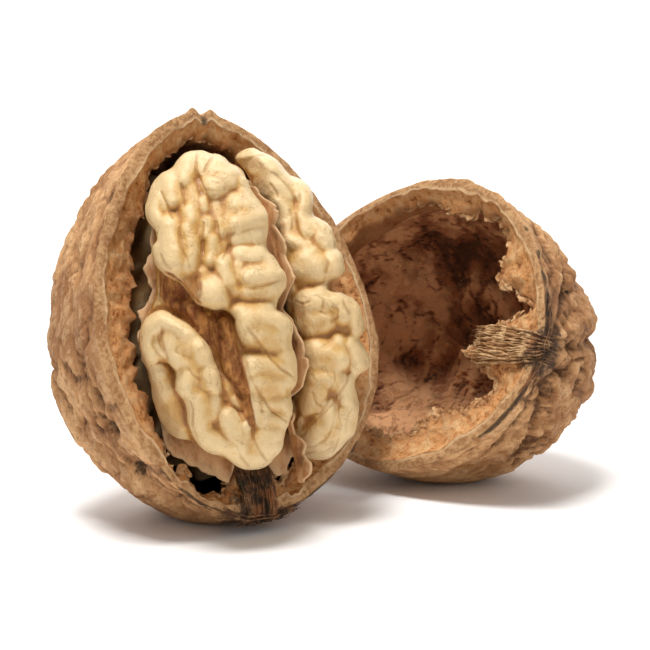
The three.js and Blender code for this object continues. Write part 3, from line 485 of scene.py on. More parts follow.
outlineA = [
    (197, 150), (203, 150), (210, 153), (220, 153), (226, 156), (230, 162), (238, 166), (245, 170), (249, 174),
    (251, 180), (252, 187), (256, 196), (262, 203), (267, 209), (270, 215), (270, 222), (269, 232), (267, 240),
    (266, 246), (268, 251), (274, 256), (277, 261), (280, 267), (285, 272), (288, 279), (287, 287), (283, 292),
    (279, 298), (277, 304), (276, 310), (282, 312), (288, 317), (292, 322), (294, 329), (293, 334), (292, 341),
    (293, 347), (296, 353), (298, 359), (299, 366), (300, 376), (300, 382), (297, 387), (292, 391), (293, 397),
    (295, 403), (297, 410), (298, 416), (297, 422), (294, 428), (291, 433), (291, 441), (288, 449), (284, 456),
    (279, 461), (274, 466), (268, 469), (261, 471), (253, 471), (245, 470), (239, 468), (233, 464), (229, 460),
    (224, 456), (220, 455), (212, 454), (206, 451), (201, 447), (196, 441), (192, 434), (189, 426), (187, 419),
    (187, 412), (186, 405), (184, 400), (179, 395), (176, 390), (175, 383), (176, 375), (175, 371), (171, 366),
    (167, 362), (160, 364), (152, 367), (147, 363), (143, 357), (141, 350), (140, 342), (140, 334), (142, 326),
    (145, 320), (150, 315), (157, 311), (162, 310), (168, 312), (174, 316), (181, 320), (188, 324), (193, 329),
    (198, 334), (203, 339), (208, 345), (211, 350), (213, 358), (216, 365), (219, 372), (221, 380), (222, 390),
    (222, 396), (224, 402), (229, 405), (234, 407), (239, 412), (243, 411), (246, 406), (246, 398),
    (243, 388), (240, 374), (239, 362), (240, 353), (242, 347), (240, 340), (237, 332), (235, 325),
    (235, 318), (229, 312), (224, 309), (215, 310), (208, 308), (202, 306), (196, 303), (191, 296), (186, 289),
    (180, 283), (172, 279), (165, 275), (160, 270), (155, 264), (153, 257), (152, 250), (152, 246), (157, 241),
    (157, 236), (155, 230), (150, 225), (147, 220), (145, 213), (145, 206), (147, 200), (149, 192), (151, 185),
    (155, 179), (160, 173), (168, 170), (173, 167), (176, 161), (180, 156), (185, 152), (190, 150.5)]
deepOutlineA = [
    (197, 152), (245, 172), (262, 204), (268, 215), (265, 245), (286, 278), (275, 310), (292, 326), (291, 345),
    (298, 380), (291, 392), (296, 414), (289, 440), (262, 469), (235, 463), (205, 450), (190, 441), (180, 441),
    (172, 438), (163, 431), (155, 420), (149, 408), (150, 398), (151, 385), (149, 372), (143, 360), (140, 345),
    (141, 330), (150, 312), (157, 296), (158, 280), (155, 262), (154, 248), (156, 232), (147, 214), (150, 190),
    (168, 172), (180, 157)]
outlineB = [
    (234, 158), (236, 154), (240, 151), (245, 149), (252, 147.5), (257, 149), (263, 152), (270, 155), (276, 159),
    (281, 164), (286, 170), (290, 175), (296, 177), (302, 180), (307, 184), (311, 189), (313, 195), (314, 200),
    (313, 206), (312, 212), (314, 216), (320, 219), (327, 223), (332, 229), (334, 235), (336, 242), (336, 249),
    (340, 252), (343, 257), (344, 263), (345, 269), (343, 274), (338, 278), (331, 280), (328, 284), (328, 290),
    (333, 292), (340, 292), (346, 295), (352, 298), (358, 303), (361, 311), (364, 320), (365, 328), (362, 334),
    (359, 338), (363, 345), (367, 352), (370, 360), (370, 367), (366, 371), (360, 374), (355, 380), (355, 388),
    (357, 395), (359, 402), (359, 410), (358, 420), (356, 430), (353, 437), (348, 441), (344, 445), (341, 450),
    (337, 456), (331, 460), (324, 462.5), (316, 462.5), (308, 461), (301, 457), (296, 450), (293, 443),
    (291, 436), (291, 425), (293, 412), (295, 395), (296, 375), (293, 355), (290, 335), (288, 318), (284, 300),
    (283, 285), (279, 270), (274, 255), (272, 240), (273, 222), (271, 208), (264, 200), (256, 192), (251, 182),
    (246, 172), (240, 164)]

foldsA = [
    (0.28, [(188, 160, 12), (184, 170, 10), (183, 178, 7)]), (0.12, [(203, 158, 8), (203, 168, 6)]),
    (0.3, [(218, 165, 12), (228, 169, 9)]), (0.35, [(216, 182, 12), (226, 178, 13), (231, 172, 8)]),
    (0.1, [(244, 181, 7), (246, 192, 7)]), (0.25, [(168, 180, 8), (170, 190, 8), (171, 199, 6)]),
    (-0.02, [(178, 183, 5), (180, 199, 4.5)]), (0.02, [(157, 184, 7), (154, 196, 8), (152, 208, 8), (156, 218, 8)]),
    (0.05, [(160, 194, 5), (165, 206, 4.5)]), (-0.1, [(190, 187, 6), (192, 200, 6)]),
    (0.1, [(189, 210, 7), (190, 220, 7)]), (0.42, [(168, 226, 9), (168, 238, 12), (172, 250, 13), (172, 258, 11)]),
    (0.2, [(186, 228, 7), (189, 240, 8), (190, 252, 7), (188, 262, 6)]),
    (-0.2, [(156, 247, 5), (157, 257, 5), (163, 267, 5), (172, 273, 4)]),
    (-0.75, [(180, 274, 5), (188, 284, 5), (195, 295, 5)]), (-0.85, [(195, 270, 4), (199, 283, 4)]),
    (-0.2, [(203, 199, 3), (204, 208, 3)]), (0.0, [(206, 223, 5), (205, 232, 6)]),
    (-0.1, [(212, 239, 5), (212, 250, 7), (210, 258, 6)]), (-0.4, [(203, 270, 6), (207, 279, 5)]),
    (-0.3, [(218, 203, 9), (221, 213, 9)]), (-0.15, [(222, 222, 6), (222, 230, 5)]),
    (0.42, [(238, 222, 7), (252, 215, 11), (262, 214, 8)]), (0.38, [(240, 203, 10), (251, 206, 11)]),
    (0.0, [(240, 236, 8), (256, 233, 11)]), (0.0, [(232, 212, 5), (229, 226, 5)]),
    (0.1, [(243, 254, 7), (252, 256, 8), (262, 256, 8), (270, 261, 6)]), (0.0, [(239, 265, 5), (239, 276, 5)]),
    (0.5, [(252, 277, 8), (262, 276, 9), (275, 274, 9)]), (0.22, [(250, 290, 8), (264, 288, 9), (277, 284, 8)]),
    (-0.5, [(250, 300, 5), (266, 300, 6)]), (0.1, [(224, 263, 6), (227, 272, 6), (229, 281, 6)]),
    (0.4, [(213, 290, 10), (213, 298, 10)]), (-0.1, [(231, 284, 7), (236, 290, 4)]),
    (-0.6, [(232, 297, 5), (240, 299, 5)]), (-0.7, [(236, 306, 4.5), (242, 311, 4.5)]),
    (-0.5, [(219, 232, 4), (224, 241, 4), (222, 251, 4)]), (-0.3, [(198, 222, 4), (199, 236, 4)]),
    (0.55, [(247, 319, 10), (260, 318, 11), (275, 320, 11), (283, 324, 9)]),
    (0.42, [(246, 329, 9), (262, 332, 12), (278, 335, 12)]), (0.25, [(270, 343, 8), (283, 346, 8)]),
    (0.35, [(285, 358, 9), (290, 370, 8)]), (0.45, [(254, 367, 7), (268, 366, 9), (282, 369, 8)]),
    (0.33, [(262, 380, 12), (278, 382, 12), (289, 380, 8)]), (0.15, [(268, 392, 8), (281, 389, 8)]),
    (0.2, [(270, 406, 8), (283, 405, 9), (288, 411, 8)]), (0.3, [(268, 421, 8), (281, 422, 9)]),
    (0.42, [(272, 437, 13), (262, 446, 11), (277, 448, 10)]), (0.3, [(266, 460, 9), (255, 461, 8)]),
    (-0.15, [(244, 364, 4), (249, 379, 4), (255, 394, 4.5), (262, 407, 4)]),
    (-0.02, [(255, 402, 5), (258, 415, 5), (262, 426, 5)]),
    (0.36, [(153, 326, 8), (160, 319, 8), (170, 322, 9), (180, 327, 9), (188, 333, 8)]),
    (0.0, [(146, 332, 6), (146, 345, 6), (150, 357, 6)]), (-0.12, [(155, 332, 5), (157, 345, 5), (163, 354, 4)]),
    (0.2, [(170, 338, 9), (176, 350, 10), (177, 358, 8)]), (0.3, [(186, 342, 9), (190, 350, 7)]),
    (0.52, [(201, 348, 9), (203, 357, 9)]), (0.2, [(195, 366, 9), (187, 362, 6)]),
    (0.48, [(210, 374, 9), (213, 383, 8)]), (0.3, [(192, 377, 10), (187, 388, 10)]), (0.15, [(202, 386, 8)]),
    (0.35, [(197, 399, 11), (200, 412, 11), (200, 425, 11)]), (0.1, [(214, 400, 6), (212, 415, 6)]),
    (0.3, [(205, 438, 10), (217, 444, 9), (228, 452, 8)]),
    (0.36, [(228, 418, 6), (231, 428, 8), (236, 440, 8), (241, 450, 6)]),
    (0.1, [(246, 428, 4), (247, 439, 4), (249, 450, 5)]), (0.2, [(243, 460, 8), (252, 455, 6)]),
    (-0.35, [(242, 401, 5), (246, 414, 5), (250, 424, 4)]),
    (-0.7, [(244, 347, 5), (256, 351, 5), (268, 354, 4)]), (-0.55, [(230, 407, 6), (240, 414, 6), (248, 424, 5)]),
    (-0.15, [(214, 428, 13), (236, 446, 15)]), (-0.3, [(222, 408, 8), (236, 420, 9)]),
]
# The lower layer seen beside and between them, with the papery skin in the long hollow.
deepFoldsA = [
    (-0.55, [(150, 362, 8), (155, 372, 9)]), (-1.2, [(160, 380, 11), (165, 392, 13)]),
    (-1.75, [(168, 402, 14), (172, 416, 12), (181, 430, 9)]), (-2.2, [(155, 405, 6), (163, 418, 6), (171, 430, 5)]),
    (-1.9, [(206, 318, 6), (213, 335, 6), (216, 350, 5)]), (-1.55, [(221, 345, 5), (226, 360, 6), (231, 372, 6)]),
    (-1.35, [(231, 372, 6), (238, 386, 5)]), (-1.3, [(232, 345, 5), (237, 356, 5), (242, 371, 5)]),
    (-1.1, [(242, 371, 5), (248, 390, 5)]), (-1.45, [(228, 325, 5), (233, 338, 5), (239, 350, 5)]),
    (-1.3, [(225, 385, 4), (227, 398, 5), (232, 406, 5)]), (-1.9, [(190, 311, 6), (198, 322, 7), (205, 334, 6)]),
    (-2.2, [(176, 306, 7), (190, 312, 6)]),
    (-0.8, [(234, 402, 5), (240, 408, 6), (246, 405, 5)])]
foldsB = [
    (-0.1, [(240, 158, 6), (244, 153, 6)]), (-0.12, [(250, 151, 4), (262, 154, 4), (272, 160, 4), (281, 168, 4)]),
    (0.35, [(256, 163, 9), (265, 164, 9), (273, 169, 7)]), (0.1, [(280, 175, 5), (287, 184, 5), (293, 195, 4)]),
    (0.22, [(263, 181, 8), (272, 184, 10), (281, 188, 9), (287, 196, 6)]),
    (0.3, [(303, 187, 8), (306, 196, 9), (306, 206, 6)]), (-0.1, [(296, 183, 4), (297, 195, 4), (300, 205, 3)]),
    (0.25, [(279, 201, 6), (285, 206, 8), (287, 218, 8), (288, 227, 7)]),
    (0.15, [(300, 214, 6), (304, 222, 6), (305, 232, 7)]), (-0.1, [(313, 221, 5), (318, 228, 5)]),
    (0.0, [(322, 238, 8), (326, 244, 7)]), (-0.1, [(322, 224, 6), (329, 228, 5)]), (-0.25, [(332, 240, 4)]),
    (0.3, [(288, 238, 6), (295, 241, 7), (303, 245, 6)]), (-0.2, [(286, 250, 7), (292, 254, 6)]),
    (0.52, [(307, 258, 11), (312, 264, 13)]), (0.28, [(300, 267, 8)]), (0.28, [(332, 260, 8), (334, 268, 8)]),
    (-0.5, [(286, 266, 5), (290, 276, 6), (292, 288, 5)]), (-0.35, [(303, 280, 8), (312, 281, 7)]),
    (0.5, [(312, 303, 9), (322, 301, 9), (333, 301, 8)]), (0.35, [(340, 303, 8), (343, 312, 8)]),
    (0.3, [(325, 314, 9), (314, 318, 8)]), (0.0, [(306, 312, 6), (304, 322, 6)]),
    (0.1, [(312, 327, 7), (322, 326, 6), (328, 322, 5)]), (0.1, [(356, 312, 6), (358, 322, 7), (360, 330, 5)]),
    (-0.5, [(340, 330, 5), (347, 330, 5)]), (0.2, [(338, 343, 5), (340, 353, 6)]),
    (0.45, [(318, 352, 9), (328, 354, 9), (338, 358, 8)]), (0.33, [(320, 364, 9), (332, 366, 9)]),
    (0.1, [(352, 345, 6), (357, 355, 8), (360, 364, 7)]), (-0.1, [(367, 355, 3), (368, 365, 3)]),
    (0.4, [(320, 378, 8), (330, 379, 8)]), (0.25, [(318, 391, 10), (315, 403, 9)]),
    (-0.25, [(308, 395, 5), (308, 410, 5)]), (0.1, [(338, 380, 7), (343, 390, 7), (345, 400, 7)]),
    (-0.1, [(352, 380, 4), (353, 392, 4)]), (-0.3, [(329, 391, 6), (323, 399, 5)]),
    (-0.5, [(300, 420, 6), (301, 432, 6)]),
    (0.4, [(328, 411, 9), (330, 425, 11), (322, 438, 12), (310, 447, 10), (324, 450, 9)]),
    (0.25, [(343, 415, 6), (342, 430, 6), (338, 442, 6)]), (0.15, [(352, 410, 5), (353, 422, 5), (350, 432, 5)]),
]
veinLines = [
    [(197, 152), (196.5, 162), (196, 170), (199, 178)], [(212, 158), (207, 166), (204, 172)],
    [(181, 222), (179, 232), (180, 244), (184, 254), (188, 262), (191, 272), (193, 282), (199, 290)],
    [(247, 327), (254, 336), (260, 345), (266, 351), (272, 360), (280, 368), (290, 374), (298, 383)],
    [(246, 362), (250, 375), (256, 388), (264, 399), (270, 409), (280, 417), (291, 424), (297, 427)],
    [(248, 412), (252, 428), (254, 440), (260, 452), (269, 464)],
    [(213, 424), (221, 432), (229, 440), (237, 446), (240, 456), (248, 466)],
    [(184, 397), (190, 401), (193, 410), (192, 425), (196, 436)], [(188, 368), (192, 374), (199, 380)],
    [(250, 289), (262, 286), (274, 282), (284, 279)], [(199, 177), (203, 186), (208, 196), (212, 210)],
    [(161, 192), (167, 205), (173, 218)], [(154, 335), (152, 345), (157, 353), (165, 360)],
    [(162, 327), (161.5, 338), (165, 350), (168, 360)], [(161, 255), (164, 263), (171, 269)],
    [(236, 228), (231, 238), (228, 250), (223, 259)], [(199, 388), (204, 391.5), (212, 391)],
    [(186, 343), (178, 346), (176, 352), (184, 357)], [(158, 333), (160, 345), (164, 352)],
    [(181, 184), (183, 194), (184, 205)], [(206, 190), (216, 191), (226, 189)], [(229, 190), (238, 191)],
    [(204, 223), (202, 236), (203, 250), (206, 262), (212, 272)], [(216, 222), (218, 232), (221, 241)],
    [(213, 311), (219, 323), (222, 333), (225, 340), (232, 350), (238, 364), (241, 372)],
    [(217, 343), (219, 358), (222, 372), (229, 380), (238, 394), (246, 409), (250, 419)],
    [(235, 342), (241, 355), (246, 368)], [(197, 310), (199, 322), (207, 336)],
    [(246, 172), (248, 162), (254, 157), (262, 155), (272, 158), (280, 166), (288, 173)],
    [(265, 170), (275, 174), (284, 182), (292, 192), (297, 204)], [(298, 184), (300.5, 192), (299, 203)],
    [(296, 213), (297, 225), (300, 234), (306, 240)], [(326, 256), (328, 264), (326, 272)],
    [(343, 258), (344, 266), (343, 273)], [(309, 302), (303, 304), (296, 301)],
    [(332, 306), (338, 310), (337, 318), (331, 322)], [(343, 300), (346, 308), (350, 314)],
    [(334, 371), (335, 380), (330, 390), (328, 402), (320, 414), (308, 416)],
    [(348, 372), (347, 382), (342, 390), (336, 396), (333, 404), (325, 412), (316, 420), (309, 427)],
    [(309, 427), (305, 434), (298, 438), (293, 437)],
    [(293, 441), (303, 447), (315, 446), (325, 440), (331, 430), (335, 415), (336, 400)],
    [(340, 398), (338, 410), (341, 425), (338, 440), (333, 452)], [(352, 408), (347, 418), (346, 432)],
    [(300, 456), (310, 452), (322, 453), (332, 447)], [(313, 393), (316, 404), (324, 408)],
    [(369, 351), (368, 360), (369, 368)], [(355, 392), (357, 402), (359, 410)], [(320, 312), (326, 314), (332, 312)],
    [(270, 184), (276, 192), (278, 198)], [(318, 296), (324, 300), (322, 308)], [(290, 210), (293, 220), (292, 230)],
]
# Brown papery skin that stays on the flesh: (strength, strokes).
skinPatches = [
    (1.0, [(166, 284, 12), (178, 296, 14), (192, 308, 10), (202, 322, 8), (210, 340, 7)]),
    (1.0, [(218, 325, 12), (226, 345, 10), (234, 365, 9), (240, 385, 8), (246, 405, 6), (252, 424, 3)]),
    (0.55, [(186, 282, 6), (197, 294, 6), (198, 276, 5)]), (0.3, [(212, 262, 6), (206, 274, 6), (214, 272, 5)]),
    (0.3, [(203, 205, 4), (204, 216, 4)]), (0.2, [(212, 240, 5), (212, 252, 6)]),
    (0.25, [(232, 298, 7), (238, 306, 6)]), (0.35, [(246, 348, 7), (258, 352, 6), (266, 354, 4)]),
    (0.5, [(224, 395, 6), (230, 406, 5)]), (0.22, [(222, 206, 7), (216, 214, 7), (222, 228, 5)]),
    (0.15, [(252, 300, 6), (268, 301, 6)]), (0.4, [(256, 176, 5), (262, 184, 4)]),
    (0.25, [(306, 290, 6), (320, 288, 6), (328, 284, 4)]), (0.35, [(286, 264, 5), (291, 280, 5)]),
    (0.2, [(341, 331, 6), (348, 336, 6), (349, 346, 4)]), (0.35, [(303, 396, 5), (301, 412, 6), (300, 430, 6)]),
    (0.45, [(300, 306, 6), (301, 322, 5), (308, 336, 5)]), (0.3, [(160, 380, 8), (168, 400, 12), (176, 424, 9)]),
    (0.3, [(322, 242, 7), (316, 236, 6)]), (0.4, [(282, 226, 5), (284, 232, 4)]),
]
# Painted shade: flesh painted more tan where it lies in shadow, as (strength, strokes).
shadedFlesh = [
    (0.14, [(148, 335, 12), (156, 362, 12), (190, 385, 14), (198, 425, 14)]),
    (0.14, [(335, 350, 18), (335, 385, 24), (328, 430, 24)]), (0.08, [(300, 190, 12), (310, 240, 18)]),
]


def segmentGap(x, y, a, b):
    dx, dy = b[0] - a[0], b[1] - a[1]
    t = clampTo(((x - a[0]) * dx + (y - a[1]) * dy) / max(dx * dx + dy * dy, 1e-6), 0.0, 1.0)
    return np.hypot(x - a[0] - t * dx, y - a[1] - t * dy), t


def strokeGap(x, y, line):
    # Distance to the nearest point of a stroke and the stroke's half width there.
    best = np.full(x.shape, farAway)
    width = np.full(x.shape, line[0][2] if len(line[0]) > 2 else 0.0)
    pairs = list(zip(line[:-1], line[1:])) or [(line[0], line[0])]
    for a, b in pairs:
        gap, t = segmentGap(x, y, a, b)
        half = a[2] + (b[2] - a[2]) * t if len(a) > 2 else 0.0 * t
        closer = gap - half < best - width
        best = np.where(closer, gap, best)
        width = np.where(closer, half, width)
    return best, width


def outlineGap(x, y, outline):
    # Signed distance to a closed outline, negative inside.
    nearest = np.full(x.shape, farAway)
    inside = np.zeros(x.shape, dtype=bool)
    for a, b in zip(outline, outline[1:] + outline[:1]):
        nearest = np.minimum(nearest, segmentGap(x, y, a, b)[0])
        if a[1] != b[1]:
            slope = (b[0] - a[0]) * (y - a[1]) / (b[1] - a[1])
            crosses = ((a[1] > y) != (b[1] > y)) & (x < slope + a[0])
            inside ^= crosses
    return np.where(inside, -nearest, nearest)


def blurMap(values, width):
    reach = int(3 * width) + 1
    weights = np.exp(-0.5 * (np.arange(-reach, reach + 1) / width) ** 2)
    weights = weights / weights.sum()
    for axis in (0, 1):
        pads = [(reach, reach) if k == axis else (0, 0) for k in (0, 1)]
        padded = np.pad(values, pads, mode="edge")
        rows = [np.take(padded, np.arange(k, k + values.shape[axis]), axis) for k in range(2 * reach + 1)]
        values = sum(w * row for w, row in zip(weights, rows))
    return values


class Picture:
    # Maps over the photographed view, one sample for each picture point.
    def __init__(self, left, top, right, bottom):
        self.left, self.top = left, top
        self.x, self.y = np.meshgrid(np.arange(left, right + 1.0), np.arange(top, bottom + 1.0))
        self.maps = {}

    def noise(self, size, seed, octaves=3):
        flat = np.stack([self.x.ravel(), self.y.ravel(), 0 * self.x.ravel()], axis=1)
        return roughNoise(flat, size, seed, octaves).reshape(self.x.shape)

    def foldHeight(self, folds, floor):
        share = kernelPart["blend"]
        total = np.full(self.x.shape, math.exp(floor / share))
        for rise, line in folds:
            gap, half = strokeGap(self.x, self.y, line)
            half = half * kernelPart["swell"]
            lift = kernelPart["rise"] if rise > kernelPart["riseFrom"] else 1.0
            height = rise * lift - kernelPart["curve"] * gap ** 2 / half
            total += np.exp(np.maximum(height, -8.0) / share)
        return share * np.log(total)

    def read(self, name, x, y):
        values = self.maps[name]
        gx = clampTo(x - self.left, 0.0, values.shape[1] - 1.001)
        gy = clampTo(y - self.top, 0.0, values.shape[0] - 1.001)
        i, j = gy.astype(int), gx.astype(int)
        fy, fx = gy - i, gx - j
        top = values[i, j] * (1 - fx) + values[i, j + 1] * fx
        low = values[i + 1, j] * (1 - fx) + values[i + 1, j + 1] * fx
        return top * (1 - fy) + low * fy


def edgeDrop(gap):
    reach = kernelPart["edgeRound"]
    t = clampTo(-gap / reach, 0.0, 1.0)
    return 0.1 * reach * (1.0 - np.sqrt(np.maximum(1.0 - (1.0 - t) ** 2, 0.0)))


def paint(picture, patches, low, high):
    shade = np.zeros(picture.x.shape)
    for strength, line in patches:
        gap, half = strokeGap(picture.x, picture.y, line)
        shade = np.maximum(shade, strength * smoothStep(low, high, gap - half))
    return shade


def kernelMaps():
    picture = Picture(*kernelPart["pictureBox"])
    maps = picture.maps
    veins = np.zeros(picture.x.shape)
    for line in veinLines:
        gap, _ = strokeGap(picture.x, picture.y, line)
        veins = np.maximum(veins, np.exp(-((gap / 1.7) ** 2)))
    breaks = smoothStep(-0.9, 0.5, picture.noise(14.0, 541, 2))
    maps["vein"] = veins * (0.45 + 0.55 * breaks)
    groove = kernelPart["veinDepth"] * maps["vein"]
    for name, outline, folds, floor in (("A", outlineA, foldsA, kernelPart["frontFloor"]),
                                        ("deepA", deepOutlineA, deepFoldsA, kernelPart["deepFloor"]),
                                        ("B", outlineB, foldsB, kernelPart["frontFloor"])):
        gap = outlineGap(picture.x, picture.y, outline)
        height = blurMap(picture.foldHeight(folds, floor), 0.8)
        maps["gap" + name] = gap
        maps["height" + name] = height - edgeDrop(gap) - groove * (3.0 if name == "deepA" else 1.0)
    maps["skin"] = paint(picture, skinPatches, 4.0, -3.0)
    top = np.where(maps["gapB"] < 0, maps["heightB"], maps["heightdeepA"])
    top = np.where(maps["gapA"] < 0, maps["heightA"], top)
    top = np.where((maps["gapA"] > 0) & (maps["gapB"] > 0), np.minimum(top, -1.0), top)
    maps["top"] = top
    # Painted shade on the flesh that lies in shadow, added into the crease map.
    fleshShade = paint(picture, shadedFlesh, 8.0, -8.0)
    # Painted shade: the crease map is high in narrow creases and the hollow map in broad hollows, and both darken the
    # flesh there; below zero, on ridges, they paint it paler.
    maps["creaseShade"] = clampTo((blurMap(top, 2.4) - top) * 7.0 + fleshShade, -1.0, 1.0)
    maps["hollow"] = clampTo((blurMap(top, 9.0) - top) * 2.0, -1.0, 1.0)
    return picture


kernelAxes = axesOf(filledHalf)
kernelMiddle = np.array(filledHalf["middle"])


def lobeDistance(lobe, p):
    reach = np.array(lobe["reach"])
    q = (p - np.array(lobe["middle"])) / reach
    size = np.maximum(np.linalg.norm(q, axis=1), 1e-3)
    steep = np.linalg.norm(q / reach, axis=1)
    return size * (size - 1.0) / np.maximum(steep, 1e-4)


def hiddenFolds(p):
    x, y, z = p.T
    warp = 0.9 * np.sin(0.45 * z + 0.8) + 0.6 * np.sin(0.5 * x + 0.3 * y)
    return (0.42 * np.sin(1.15 * y + warp) * np.sin(0.62 * z + 1.2 * warp)
            + 0.2 * np.sin(1.5 * x + 0.9 * z + warp))


def roomDistance(p):
    angle = np.arctan2(p[:, 2], p[:, 0])
    rim = seamRadius(filledHalf, angle)
    out = np.hypot(p[:, 0], p[:, 2])
    width = np.maximum(flangeWidth(filledHalf, angle), nut["wall"] + 0.6)
    low = -1.45 - nut["flangeThickness"] - filledHalf["stalk"][2] * stalkShare(filledHalf, angle) - nut["fitGap"]
    flange = np.minimum(np.minimum(out - (rim - width - nut["fitGap"]), p[:, 1] - low), 0.75 - p[:, 1])
    tilt = np.minimum(np.arctan2(out, -p[:, 1]), 0.5 * math.pi)
    inside = domeRadius(filledHalf, angle, tilt) - nut["wall"] - 0.75 - nut["fitGap"]
    wall = np.where(p[:, 1] < 0.75, np.linalg.norm(p, axis=1) - inside, out - rim)
    return np.maximum(flange, wall)


def partitionLevel(x, z):
    return -1.2 + 0.3 * np.sin(0.45 * x + 0.6) + 0.25 * np.sin(0.38 * z + 1.2)


def webPlace(z):
    return -2.4 + 0.07 * (z - 5.0)


class Block:
    # A box of grid samples.
    def __init__(self, low, high, cell):
        self.low = np.array(low, dtype=float)
        self.cell = cell
        self.size = np.ceil((np.array(high) - self.low) / cell).astype(int) + 1

    def points(self):
        axes = [self.low[k] + self.cell * np.arange(self.size[k]) for k in range(3)]
        x, y, z = np.meshgrid(*axes, indexing="ij")
        return np.stack([x.ravel(), y.ravel(), z.ravel()], axis=1)


def frontTurn(lobe, p):
    # 1 at the place of a lobe nearest the camera, 0 at its outline, below 0 behind.
    q = (p - np.array(lobe["middle"])) / np.array(lobe["reach"])
    front = kernelAxes @ -lookAlong
    return (q @ front) / np.maximum(np.linalg.norm(q, axis=1), 0.1)


def frontKernelBlock(picture):
    block = Block(*kernelPart["frontBox"], kernelPart["cell"])
    p = block.points()
    x, y = toPicture(kernelMiddle + p @ kernelAxes)
    folds = hiddenFolds(p) + 0.12 * roughNoise(p, 2.2, 601, 2)
    side = kernelPart["sideDepth"] + folds
    wrinkles = kernelPart["wrinkle"] * roughNoise(p, 1.1, 501, 4)
    body = np.full(len(p), farAway)
    waistGap = np.full(len(p), farAway)
    for lobe, layers in ((lobeA, ("A", "deepA")), (lobeB, ("B",))):
        shape = lobeDistance(lobe, p)
        turn = frontTurn(lobe, p)
        if lobe is lobeB:
            shape = smoothMin(shape, lobeDistance(topB, p), 0.8)
            top = smoothStep(8.0, 12.0, p[:, 2])
            turn = np.maximum(turn, frontTurn(topB, p) * top - (1.0 - top))
        share = smoothStep(0.05, 0.4, turn)
        tuck = smoothStep(0.3, -0.25, turn) * (0.8 + 1.3 * folds)
        for layer in layers:
            gap = 0.1 * picture.read("gap" + layer, x, y) + tuck + 0.6 * wrinkles
            layerBody = shape + side + (-picture.read("height" + layer, x, y) - side) * share - wrinkles
            body = np.minimum(body, np.maximum(layerBody, gap))
            waistGap = np.minimum(waistGap, gap)
    body = smoothMin(body, np.maximum(lobeDistance(waist, p), waistGap), 0.6)
    half = kernelPart["web"] / 2 + 0.36
    cleft = np.maximum(np.maximum(np.abs(p[:, 0] - webPlace(p[:, 2])) - half, 2.6 - p[:, 1]),
                       np.abs(p[:, 2]) - 17.5)
    body = -smoothMin(-body, cleft, 0.3)
    floor = partitionLevel(p[:, 0], p[:, 2]) + kernelPart["partition"] / 2 + nut["fitGap"] * 0.85 - p[:, 1]
    block.values = np.maximum(np.maximum(body, floor), roomDistance(p)).reshape(block.size)
    return block


def backKernelBlock():
    block = Block(*kernelPart["backBox"], kernelPart["backCell"])
    p = block.points()
    body = (np.linalg.norm((p - np.array([-1.0, -5.0, 2.4])) / np.array([14.5, 9.5, 15.8]), axis=1) - 1.0) * 9.5
    body = body + hiddenFolds(p) * 1.3 + 0.25 * roughNoise(p, 4.0, 301, 2)
    groove = 1.0 - np.hypot(p[:, 0] + 1.0, (p[:, 1] + 13.2) * 0.6)
    lumps = 1.1 + 1.8 * hiddenFolds(p * 1.6) + 0.3 * roughNoise(p, 1.5, 311, 2)
    bare = smoothStep(4.0, 8.0, p[:, 0]) * lumps
    level = partitionLevel(p[:, 0], p[:, 2]) - kernelPart["partition"] / 2 - nut["fitGap"] * 0.85
    ceiling = p[:, 1] + np.maximum(bare, 0.0) - level
    wallGap = roomDistance(p) + 0.35 + 0.9 * np.maximum(hiddenFolds(p * 1.4), 0.0)
    field = np.maximum(np.maximum(body, groove), np.maximum(ceiling, wallGap))
    block.values = field.reshape(block.size)
    return block


def boxBlur(values, reach):
    for axis in range(3):
        padded = np.concatenate([np.repeat(np.take(values, [0], axis), reach + 1, axis), values,
                                 np.repeat(np.take(values, [-1], axis), reach, axis)], axis)
        total = np.cumsum(padded, axis)
        count = values.shape[axis]
        high = np.take(total, np.arange(2 * reach + 1, 2 * reach + 1 + count), axis)
        low = np.take(total, np.arange(0, count), axis)
        values = (high - low) / (2 * reach + 1)
    return values


def sampleBlock(block, values, points):
    g = (points - block.low) / block.cell
    cell = clampTo(np.floor(g).astype(int), 0, np.array(values.shape) - 2)
    return cornerBlend(values, cell, g - cell)


